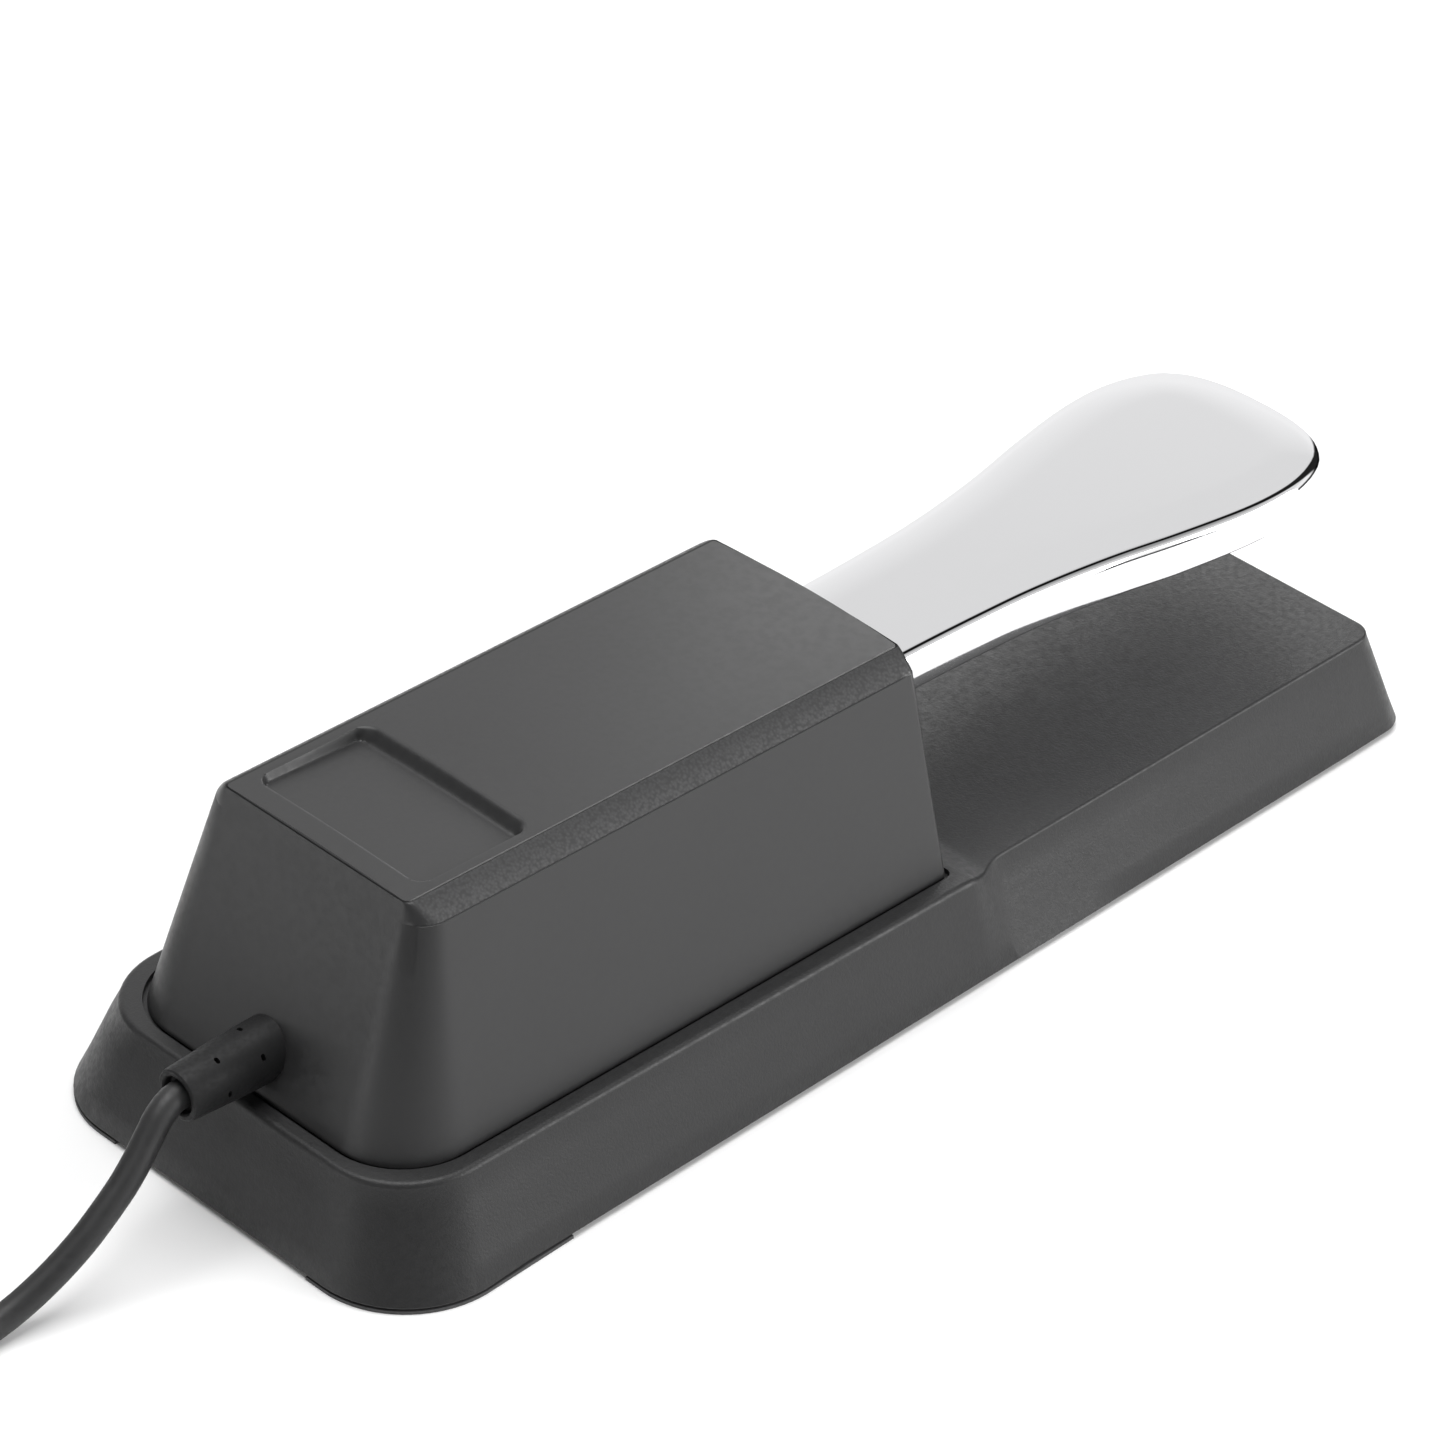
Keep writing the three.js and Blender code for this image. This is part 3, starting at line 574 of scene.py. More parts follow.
def round_wire(name, points, diameter_m, finish, body, rings=8, as_mesh=False):
    """A round wire along points in metres, with closed ends: a curve, or with as_mesh a mesh of its own."""
    curve = bpy.data.curves.new(name, "CURVE")
    curve.dimensions = "3D"
    curve.bevel_depth = diameter_m / 2
    curve.bevel_resolution = rings
    curve.use_fill_caps = True
    spline = curve.splines.new("POLY")
    spline.points.add(len(points) - 1)
    for spot, point in zip(spline.points, points):
        spot.co = (*point, 1)
    spline.use_smooth = True
    curve.materials.append(FINISHES[finish])
    piece = bpy.data.objects.new(name, curve)
    bpy.context.scene.collection.objects.link(piece)
    if as_mesh:
        graph = bpy.context.evaluated_depsgraph_get()
        mesh = bpy.data.meshes.new_from_object(piece.evaluated_get(graph))
        bpy.data.objects.remove(piece)
        piece = bpy.data.objects.new(name, mesh)
        bpy.context.scene.collection.objects.link(piece)
    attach(piece, body)
    return piece


# ---------------------------------------------------------------- base

FRONT_END = -120.5
TOP_REAR_END = 111.4
TOP_FRONT_END = -115.8
FLOOR_HALF_REAR, FLOOR_HALF_FRONT = 45.3, 40.2
COLLAR_HALF_REAR, COLLAR_HALF_FRONT = 38.6, 38.9
PAD_HALF = 35.5
RIM_Z = 0.9
COLLAR_Z = 19.0
COLLAR_END_Y = -13.5
COLLAR_FADE = 10
PAD_Z = 17.6
PAD_RISE = 1.4
PAD_START_Y = -18.5
PAD_END_Y = -114
BASE_STATIONS = [90, 80, 60, 40, 20, 5, -5, -10, *(COLLAR_END_Y - i for i in range(0, 13)), -28, -33, -40,
                 -60, -80, -95, -104]
SEAT_CLEARANCE = 0.7


def floor_half(y):
    return lerp(FLOOR_HALF_FRONT, FLOOR_HALF_REAR, (y - FRONT_END) / (REAR_END - FRONT_END))


def top_half(y):
    collar = lerp(COLLAR_HALF_REAR, COLLAR_HALF_FRONT, clamp01((80 - y) / 95))
    return lerp(collar, PAD_HALF, smooth((COLLAR_END_Y - y) / COLLAR_FADE))


def top_z(y):
    """Height of the base's top: level along the collar, a step down, then the pad's slight rise."""
    down = lerp(COLLAR_Z, PAD_Z, smooth((COLLAR_END_Y + 1 - y) / 6.5))
    return down + PAD_RISE * clamp01((PAD_START_Y - y) / (PAD_START_Y - PAD_END_Y))


def rim_scale(y):
    """The rim is rounder round the collar than along the pad."""
    return lerp(1, 0.55, smooth((COLLAR_END_Y - y) / COLLAR_FADE))


def base_ring(rise, inset, drop, z=None):
    """One ring of the base: rise 0 is the lower rim and 1 the top, inset pulls it in and drop sinks it."""
    scale = rim_scale if rise == 1 else lambda y: 1
    plan = side_plan(
        lambda y: lerp(floor_half(y), top_half(y), rise) - inset * scale(y),
        lerp(REAR_END, TOP_REAR_END, rise) - inset,
        lerp(FRONT_END, TOP_FRONT_END, rise) + inset * scale(FRONT_END),
        max(lerp(18, 15.5, rise) - inset, 1), max(lerp(6, 4.5, rise) - inset, 0.8), BASE_STATIONS)
    return [(x, y, (lerp(RIM_Z, top_z(y), rise) - drop * scale(y)) if z is None else z) for x, y in plan]


class PEDAL_OT_base(bpy.types.Operator):
    """Build the moulded base with its collar, seat groove and rounded rim"""

    bl_idname = "pedal.base"
    bl_label = "Base"

    def execute(self, context):
        round_r = context.scene.pedal_sizes.rim_rounding
        rings = [base_ring(0.9, 2.5, 0, 15.0), base_ring(0, 2.5, 0, 1.1), base_ring(0, 2.3, 0),
                 base_ring(0, 0.3, 0), base_ring(0, 0.08, -0.1), base_ring(0, 0, -0.35)]
        rings += [base_ring(k / 4, 0, k / 4 * round_r * 0.55) for k in range(1, 4)]
        for k in range(8):
            turn = k / 7 * math.pi / 2
            rings.append(base_ring(1, round_r * (1 - math.cos(turn)), round_r * (1 - math.sin(turn))))
        seat_plan = tower_plan(TOWER_Z, -SEAT_CLEARANCE)
        seat = loft([[(x, y, z) for x, y in seat_plan] for z in (18.0, 26.0)])
        base = loft(rings, evenly(6))
        add_piece("base_moulding", base, ["satin_abs"], BODY, ["base_shell"], 40, [seat])
        return {"FINISHED"}


# ---------------------------------------------------------------- tower

TOWER_Z = 18.3
SHOULDER_Z = 55.9
TOP_Z = 59.1
TOP_FALL = 1.7
TOWER_FRONT = -12.0
TOWER_REAR = 107.7
TOP_REAR = 93.2
TOWER_HALF, SHOULDER_HALF, CROWN_HALF = 34.5, 25.75, 21.7
TOWER_CORNER, SHOULDER_CORNER, TOP_CORNER = 13.5, 5.5, 1.2
TOWER_FRONT_CORNER, TOP_FRONT_CORNER = 1.1, 0.7
SHOULDER_LEAN = math.radians(13.3)
SHOULDER_ROUNDING = 0.25
FRONT_BOW = 1.4
WALL = 2.2
SLOT_SIZE, SLOT_Z = (31, 12, 18), 39.5
RECESS_HALF = 19.6
RECESS_FRONT, RECESS_REAR = 65.0, 88.6
RECESS_CORNER = 3.0
# Rows of the top's grid up to this y stand at the same y on every ring; those past it close up to the corner.
ROWS_FIXED = 84.5
ROW_STATIONS = [91, 90, *(89 - 0.25 * i for i in range(16)), 84, 82, 79, 76, 73, 70.5,
                *(69 - 0.3 * i for i in range(17)), 63, 58, 50, 40, 30, 20, 10, 0, -6, -9]
TOP_COLUMNS = [21.2, 20.7, 20.2, *(19.8 - 0.2 * i for i in range(17)), 15.8, 14, 12, 10, 8, 6, 4, 2]


def tower_rise(z):
    return clamp01((z - TOWER_Z) / (TOP_Z - TOWER_Z))


def tower_plan(z, inset=0.0):
    rise = tower_rise(z)
    half = tower_half(z) - inset
    rear = lerp(TOWER_REAR, TOP_REAR, rise) - inset
    wall = clamp01((z - TOWER_Z) / (SHOULDER_Z - TOWER_Z))
    shoulder = clamp01((z - SHOULDER_Z) / (TOP_Z - SHOULDER_Z))
    corner = lerp(lerp(TOWER_CORNER, SHOULDER_CORNER, wall), TOP_CORNER, shoulder)
    corner = max(corner - inset, 0.9)
    front_corner = max(lerp(TOWER_FRONT_CORNER, TOP_FRONT_CORNER, shoulder) - inset, 0.5)
    spread = (rear - corner - ROWS_FIXED) / (TOP_REAR - TOP_CORNER - ROWS_FIXED)
    rows = [y if y < ROWS_FIXED else ROWS_FIXED + (y - ROWS_FIXED) * spread for y in ROW_STATIONS]
    return side_plan(lambda y: half, rear, TOWER_FRONT + inset, corner, front_corner, rows)


def tower_half(z):
    """Half width of the tower: a leaning wall, then a slightly rounded bevel."""
    if z <= SHOULDER_Z:
        return lerp(TOWER_HALF, SHOULDER_HALF, clamp01((z - TOWER_Z) / (SHOULDER_Z - TOWER_Z)))
    turn = clamp01((z - SHOULDER_Z) / (TOP_Z - SHOULDER_Z))
    radius = (TOP_Z - SHOULDER_Z) / (1 - math.sin(SHOULDER_LEAN))
    angle = math.asin(min(math.sin(SHOULDER_LEAN) + turn * (1 - math.sin(SHOULDER_LEAN)), 1))
    rounded = radius * (math.cos(SHOULDER_LEAN) - math.cos(angle))
    flat = radius * math.cos(SHOULDER_LEAN) * turn
    return SHOULDER_HALF - lerp(flat, rounded, SHOULDER_ROUNDING)


def tower_ring(z, inset=0.0):
    """One ring of the tower at height z by its rear, lower towards the lever as the top falls."""
    rise = tower_rise(z)
    return [(x, y, z - TOP_FALL * rise * (TOP_REAR - y) / (TOP_REAR - TOWER_FRONT))
            for x, y in tower_plan(z, inset)]


def pinched(ring, depth):
    """The ring pulled in along the tower's sides only, to score a line along them."""
    return [(x - depth * smooth((TOP_REAR + 4 - y) / 5) * smooth((y - TOWER_FRONT) / 2), y, z)
            for x, y, z in ring]


def lowered(ring, depth):
    return [(x, y, z - depth) for x, y, z in ring]


def recess_at(x, y, depth):
    """The recess: a rounded rectangle, steep-walled but for its long soft slope at the lever side."""
    length = RECESS_REAR - RECESS_FRONT
    middle = (RECESS_FRONT + RECESS_REAR) / 2
    dx = max(abs(x) - RECESS_HALF + RECESS_CORNER, 0)
    dy = max(abs(y - middle) - length / 2 + RECESS_CORNER, 0)
    out = math.hypot(dx, dy)
    lever_side = dy / out if out > 0 and y < middle else 0
    wall = lerp(0.8, 2.7, lever_side)
    floor = depth * lerp(1, 0.6, clamp01((y - RECESS_FRONT) / length))
    return floor * smooth((RECESS_CORNER - out) / wall)


class PEDAL_OT_tower(bpy.types.Operator):
    """Build the tapered tower with its grained shoulders, crowned top and shallow recess"""

    bl_idname = "pedal.tower"
    bl_label = "Tower"

    def execute(self, context):
        sizes = context.scene.pedal_sizes
        inside = [lowered(tower_ring(TOP_Z - 1, WALL + 1), 2.6), tower_ring(TOWER_Z + 4, WALL),
                  tower_ring(TOWER_Z, WALL)]
        outside = [tower_ring(TOWER_Z, 0.25)]
        outside += [tower_ring(z) for z in (TOWER_Z + 0.25, 24, 32, 40, 48, SHOULDER_Z - 0.12)]
        arc = [SHOULDER_Z + (TOP_Z - SHOULDER_Z) * math.sin(k / 8 * math.pi / 2) for k in range(1, 8)]
        shoulder = [pinched(tower_ring(SHOULDER_Z), 0.16)]
        shoulder += [tower_ring(z) for z in [SHOULDER_Z + 0.12, *arc, TOP_Z - 0.015]]
        top = [lowered(tower_ring(TOP_Z, 0.16), 0.26), tower_ring(TOP_Z, 0.34)]
        first_strip = len(inside) + len(outside)
        last_strip = first_strip + len(shoulder) - 2

        def strip(index, centre):
            y = centre.y - MID_Y
            on_side = abs(centre.x) > 20 and TOWER_FRONT + 0.3 < y < TOP_REAR - 1.5
            return 1 if first_strip <= index <= last_strip and on_side else 0

        def relief(x, y):
            return sizes.top_crown * (1 - (x / CROWN_HALF) ** 2) - recess_at(x, y, sizes.recess_depth)

        def bow(x, y, z):
            return -FRONT_BOW * tower_rise(z) * smooth(1 - (y - TOWER_FRONT) / 8) * (1 - (x / 30) ** 2)

        slot = rounded_block(SLOT_SIZE, 0.8, Matrix.Translation(place(0, TOWER_FRONT, SLOT_Z)))
        rings = [*inside, *outside, *shoulder, *top]
        cover = loft(rings, columns_at(TOP_COLUMNS, CROWN_HALF), relief, strip, bow)
        add_piece("tower_moulding", cover, ["tower_satin", "shoulder_grain"], BODY, ["housing_cover"],
                  30, [slot])
        return {"FINISHED"}


# ---------------------------------------------------------------- lever

LEVER_TOP = 47.3
LEVER_LOW = 39.5
LEVER_CROWN = 0.35
CROWN_WIDTH = 8.0
EDGE_DROP = 2.1
EDGE_TURN = math.radians(83)
TOE_LIFT = 1.2
PIVOT_Y, PIVOT_Z = 78, 41
STRAIGHT_POINTS = 3
LEVER_SIDE = [(12, 86), (12, 60), (12, 30), (12, 8), (12.5, 2), (13.6, -5), (14, -10), (14.1, -20),
              (14.3, -30), (14.7, -40), (15.3, -50), (16.5, -60), (18.2, -70), (20.4, -80), (22.3, -90),
              (23.2, -96), (23.55, -101), (23.4, -106), (22.7, -110), (21.6, -113.4), (19.9, -116.8),
              (17.3, -119.5), (14.2, -121.4), (10.6, -122.6), (6.6, -123.3), (2.5, -123.6)]


def lever_outline():
    """The lever's +X side from tail to toe: straight inside the tower, then one smooth curve."""
    fine = catmull([(x, y, 0) for x, y in LEVER_SIDE[STRAIGHT_POINTS:]], 1.6)
    return LEVER_SIDE[:STRAIGHT_POINTS] + [(p.x, p.y) for p in fine]


def pulled_in(points, inset):
    """The outline moved inward by inset."""
    moved = []
    for i, (x, y) in enumerate(points):
        (x0, y0), (x1, y1) = points[max(i - 1, 0)], points[min(i + 1, len(points) - 1)]
        length = math.hypot(x1 - x0, y1 - y0)
        nx, ny = -(y1 - y0) / length, (x1 - x0) / length
        moved.append((max(x - nx * inset, 0.3), y - inset if i == 0 else y - ny * inset))
    return moved


def lever_ring(z, inset, lift=0.0):
    """One ring of the lever at height z, raised by lift towards its toe."""
    return [(x, y, z + lift * clamp01((-80 - y) / 40)) for x, y in pulled_in(lever_outline(), inset)]


class PEDAL_OT_lever(bpy.types.Operator):
    """Build the chrome lever with its rounded paddle end and the collars of its pivot"""

    bl_idname = "pedal.lever"
    bl_label = "Lever"

    def execute(self, context):
        width = context.scene.pedal_sizes.lever_rounding
        edge_z = LEVER_TOP - LEVER_CROWN
        under = ((2, 0.3), (1.7, 0), (0.4, 0), (0.1, 0.15), (0, 0.5))
        rings = [lever_ring(LEVER_TOP - 2, 2.2)]
        rings += [lever_ring(LEVER_LOW + up, inset, TOE_LIFT) for inset, up in under]
        rings += [lever_ring(43, 0), lever_ring(edge_z - EDGE_DROP - 0.4, 0)]
        for k in range(12):
            turn = k / 11 * EDGE_TURN
            rings.append(lever_ring(edge_z - EDGE_DROP * (1 - math.sin(turn)), width * (1 - math.cos(turn))))
        for k in range(1, 10):
            t = k / 9
            rings.append(lever_ring(LEVER_TOP - LEVER_CROWN * (1 - t) ** 2, width * 0.88 + CROWN_WIDTH * t))
        lever = loft(rings, evenly(4))
        for side in (-1, 1):
            at = (side * 11 - 1, PIVOT_Y, PIVOT_Z)
            collar = turned([(4.1, 0), (6.2, 0), (6.2, 2), (4.1, 2)], at, "X", 48)
            mesh = bpy.data.meshes.new("collar")
            collar.to_mesh(mesh)
            collar.free()
            lever.from_mesh(mesh)
            bpy.data.meshes.remove(mesh)
        add_piece("lever_pressing", lever, ["chrome_plate"], LEVER, ["pedal_lever"], 34)
        return {"FINISHED"}


# ---------------------------------------------------------------- cord and boot

CORD_Z = 25.6
BOOT_END_Y = 121.3
# Height of the cord's middle where it lies on the floor, and the distance between its turns.
RESTING_Z = 2.45
TURN_PITCH = 4.8
LAYER_RISE = 4.75
CORD_STEP = 1.4
CORD_ROUTE = [
    (0, BOOT_END_Y, CORD_Z), (0, 123.4, 25.4), (-0.4, 126.4, 24), (-1.1, 129.4, 21.6), (-1.9, 132.6, 19.1),
    (-2.5, 136, 16.6), (-2.9, 140, 14), (-3.1, 144.2, 11.3), (-2.9, 148.6, 8.6), (-2.5, 153, 6.2),
    (-2, 157, 4.3), (-1.6, 161, 3), (-1.5, 165.4, 2.5), (-1.2, 170.8, RESTING_Z), (0.7, 177, RESTING_Z),
    (4.8, 182.6, RESTING_Z), (10.8, 186.8, RESTING_Z), (17.8, 190.6, RESTING_Z), (28, 196.2, RESTING_Z),
    (37, 201.3, RESTING_Z),
]
COIL_AT = (64.0, 174.0)
COIL_OUT = 37.2
COIL_IN = 19.6
COIL_START = math.radians(120)
COIL_TURNS = 7 + COIL_START / (2 * math.pi)
LAYER_CHANGE = 0.36
PLUG_AT = (101.2, 149.7, 6.3)


def coil_points():
    """Two flat layers of turns: inward on the floor, then outward on top of them."""
    layer = (COIL_OUT - COIL_IN) / TURN_PITCH
    count = round(COIL_TURNS * 40)
    points = []
    for i in range(count + 1):
        turn = COIL_TURNS * i / count
        if turn <= layer:
            radius, z = COIL_OUT - TURN_PITCH * turn, RESTING_Z
        else:
            up = smooth((turn - layer) / LAYER_CHANGE)
            out = clamp01((turn - layer - LAYER_CHANGE) / (COIL_TURNS - layer - LAYER_CHANGE))
            radius = lerp(COIL_IN, COIL_OUT, out) - 0.5 * math.sin(math.pi * up)
            z = lerp(RESTING_Z, RESTING_Z + LAYER_RISE, up)
        angle = COIL_START - 2 * math.pi * turn
        points.append((COIL_AT[0] + radius * math.cos(angle), COIL_AT[1] + radius * math.sin(angle), z))
    return points


class PEDAL_OT_cord(bpy.types.Operator):
    """Lay the signal cord from its boot to the floor and wind the rest into a tied coil, up to the plug"""

    bl_idname = "pedal.cord"
    bl_label = "Cord"

    def execute(self, context):
        diameter = context.scene.pedal_sizes.cord_diameter
        x, y, z = PLUG_AT
        coil = coil_points()
        tail = [(x, 168, 7.2), (x, 162, 7.05), (x, 156, 6.6), (x, y + 1.5, z), (x, y - 1, z)]
        lead = catmull([place(*p) for p in CORD_ROUTE], CORD_STEP * MM)
        run = catmull([place(*p) for p in [coil[-1], *tail]], CORD_STEP * MM)
        points = lead + [place(*p) for p in coil] + run[1:]
        length = sum((b - a).length for a, b in zip(points, points[1:]))
        cord = round_wire("signal_cord", points, diameter, "cord_jacket", BODY)
        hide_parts("cord", "cord_coil", "cord_end")
        self.report({"INFO"}, f"cord {length:.3f} m")
        band = self.tie()
        return {"FINISHED"}

    def tie(self):
        """A soft strap round the coil's side: a rounded rectangle in X and Z, swept by its flat section."""
        x0, x1 = COIL_AT[0] - COIL_OUT - 3.4, COIL_AT[0] - COIL_IN + 4.2
        z0, z1 = 0.05, 10.7
        corner = 3.0
        section = [(0, -4), (0.9, -4.0), (1.0, -3.8), (1.0, 3.8), (0.9, 4.0), (0, 4)]
        bm = bmesh.new()
        rings = []
        for cx, cz, start in ((x1 - corner, z1 - corner, 0), (x0 + corner, z1 - corner, 90),
                              (x0 + corner, z0 + corner, 180), (x1 - corner, z0 + corner, 270)):
            for k in range(9):
                a = math.radians(start + 90 * k / 8)
                spots = [(cx + (corner - 1 + t) * math.cos(a), COIL_AT[1] + w,
                          cz + (corner - 1 + t) * math.sin(a)) for t, w in section]
                rings.append([bm.verts.new(place(*spot)) for spot in spots])
        for low, high in zip(rings, rings[1:] + rings[:1]):
            for i in range(len(section)):
                j = (i + 1) % len(section)
                bm.faces.new((low[i], low[j], high[j], high[i]))
        return add_piece("coil_strap", bm, ["soft_rubber"], BODY, ["cord_tie"])


class PEDAL_OT_boot(bpy.types.Operator):
    """Build the moulded strain relief with its open mouth and flex slots"""

    bl_idname = "pedal.boot"
    bl_label = "Strain relief"

    def execute(self, context):
        profile = [(0, 97.5), (6.6, 97.5), (7, 97.9), (7, 99.4), (6.6, 99.8), (5.3, 99.8), (5.25, 107),
                   (5.1, 112), (4.75, 119), (4.6, 121.6), (4.45, 122.3), (4.2, 122.5), (3.6, 122.5),
                   (3.35, 122.3), (3.25, 122), (3.2, 121.1), (0, 121.1)]
        slots = []
        for row in range(context.scene.pedal_sizes.boot_slots):
            y = 108.6 + 7.2 * row
            for k in range(5):
                slots.append(self.slot(y, math.radians(12 + 36 * row + 72 * k)))
        boot = turned(profile, (0, 0, CORD_Z), "Y", 72)
        add_piece("boot_moulding", boot, ["soft_rubber"], BODY, ["strain_relief_boot"], 35, slots)
        return {"FINISHED"}

    def slot(self, y, turn):
        """A short slit across the boot's skin, turned round its middle line."""
        to_place = (Matrix.Translation(place(0, y, CORD_Z)) @ Matrix.Rotation(turn, 4, "Y")
                    @ Matrix.Translation((0, 0, 5.3 * MM)))
        return rounded_block((1.2, 0.75, 3.0), 0.3, to_place, 2)


PLUG_PIECES = ("plug_relief_moulding", "plug_grip_moulding", "plug_sleeve_turning", "plug_ring_moulding",
               "plug_tip_turning")


class PEDAL_OT_plug(bpy.types.Operator):
    """Build the phone plug that the cord ends in"""

    bl_idname = "pedal.plug"
    bl_label = "Plug"

    def execute(self, context):
        relief = [(0, 0), (2.9, 0), (3.2, -0.3)]
        for k in range(5):
            start = -1.4 - 2.1 * k
            r = 3.35 + 0.2 * k
            relief += [(r, start), (r - 0.45, start - 0.25), (r - 0.45, start - 0.75), (r + 0.1, start - 1.0)]
        relief += [(4.3, -11.8), (4.3, -12), (0, -12)]
        grip = [(0, -12.3), (5.0, -12.3), (5.5, -12.6), (5.9, -13.6), (5.9, -15)]
        for k in range(9):
            start = -16 - 1.7 * k
            grip += [(5.9, start), (5.6, start - 0.3), (5.6, start - 0.8), (5.9, start - 1.1)]
        grip += [(5.9, -33), (5.7, -34.4), (5.3, -35.6), (5.0, -36), (0, -36)]
        sleeve = [(0, -36.3), (4.4, -36.3), (4.6, -36.5), (4.6, -37.8), (4.4, -38), (3.15, -38),
                  (3.15, -56.8), (3.0, -57), (0, -57)]
        tip = [(0, -58.9), (2.9, -58.9), (2.6, -60), (2.1, -61), (2.05, -61.8), (2.3, -62.6), (3.05, -63.7),
               (3.1, -64.3), (2.8, -65), (1.7, -66.2), (0.7, -67.1), (0, -67.4)]
        ring = [(0, -57.3), (3.1, -57.3), (3.1, -58.6), (0, -58.6)]
        parts = ((relief, "soft_rubber", "plug_relief", "rubber"),
                 (grip, "tower_satin", "plug_grip", "black_abs"),
                 (sleeve, "nickel_plate", "plug_sleeve", "nickel"),
                 (ring, "soft_rubber", "plug_insulator", "rubber"),
                 (tip, "nickel_plate", "plug_tip", "nickel"))
        for name, (profile, finish, node, slot) in zip(PLUG_PIECES, parts):
            add_piece(name, turned(profile, PLUG_AT), [finish], BODY, [node])
        return {"FINISHED"}


# ---------------------------------------------------------------- mechanism


class PEDAL_OT_spring(bpy.types.Operator):
    """Wind the return spring with closed ends between its seat and cap"""

    bl_idname = "pedal.spring"
    bl_label = "Return spring"

    def execute(self, context):
        low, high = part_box("return_spring")
        middle = (low + high) / 2
        wire = 1.5 * MM
        radius = 6.2 * MM
        bottom, top = low.z + wire / 2, high.z - wire / 2
        turns = 7.5
        closed = 1.0 / turns
        stack = wire * 1.02
        points = []
        count = round(turns * 36)
        for i in range(count + 1):
            t = i / count
            rise = clamp01((t - closed) / (1 - 2 * closed))
            z = lerp(bottom + stack * clamp01(t / closed), top - stack * clamp01((1 - t) / closed), rise)
            a = 2 * math.pi * turns * t
            points.append(Vector((middle.x + radius * math.cos(a), middle.y + radius * math.sin(a), z)))
        spring = round_wire("spring_winding", points, wire, "drawn_wire", BODY, 3, as_mesh=True)
        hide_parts("return_spring")
        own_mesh(spring)
        return {"FINISHED"}


# Each finish with the names, or the starts of the names, of the frame's own nodes that take it.
CARRIED = {
    "zinc_steel": ["bottom_plate", "pivot_bracket", "pivot_axle", "stop_bracket", "cover_screw",
                   "plate_screw", "bracket_screw", "stop_screw", "board_screw"],
    "drawn_wire": ["axle_clip"],
    "natural_nylon": ["lever_bush", "spring_seat", "spring_cap", "switch_plunger"],
    "foot_rubber": ["rubber_foot"],
    "soft_rubber": ["down_stop_bumper"],
    "pressed_felt": ["up_stop_felt"],
    "board_mask": ["circuit_board"],
    "tower_satin": ["switch_body"],
    "cord_jacket": ["inner_cord_tail"],
    "white_lead": ["inner_lead_left"],
    "black_lead": ["inner_lead_right"],
}


class PEDAL_OT_fittings(bpy.types.Operator):
    """Give the plates, brackets, screws, bushes, switch and feet of the frame their finishes"""

    bl_idname = "pedal.fittings"
    bl_label = "Fittings"

    def execute(self, context):
        for finish, starts in CARRIED.items():
            for name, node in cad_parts.items():
                if name.startswith(tuple(starts)):
                    for slot in node.material_slots:
                        slot.material = FINISHES[finish]
        return {"FINISHED"}


# ---------------------------------------------------------------- stage


def by_bearing(*stops):
    """Ramp stops from bearings in degrees, counted from the toe end towards +X."""
    return [((bearing + 180) / 360, shade) for bearing, shade in stops]


# The studio's walls, brightest beside the pedal and dark where the room is open past its toe end.
WALL_SHADES = by_bearing((-180, 0.7), (-150, 0.35), (-112, 0.35), (-85, 0.9), (-72, 1.0), (-16, 1.0),
                         (-11, 0.02), (21, 0.02), (27, 1.0), (92, 1.0), (106, 0.25), (160, 0.25), (180, 0.7))
# Shades by the sine of the height, and the low band of wall that is lit on the +X side up to LOW_WALL_TOP.
HEIGHT_SHADES = [(0.0, 0.05), (0.16, 0.08), (0.23, 1.0), (0.43, 1.0), (0.55, 0.8), (0.7, 0.8), (0.85, 0.35)]
LOW_WALL_SHADES = by_bearing((-180, 0.0), (20, 0.0), (26, 1.0), (96, 1.0), (110, 0.0))
LOW_WALL_FADE, LOW_WALL_TOP = 0.2, 0.3


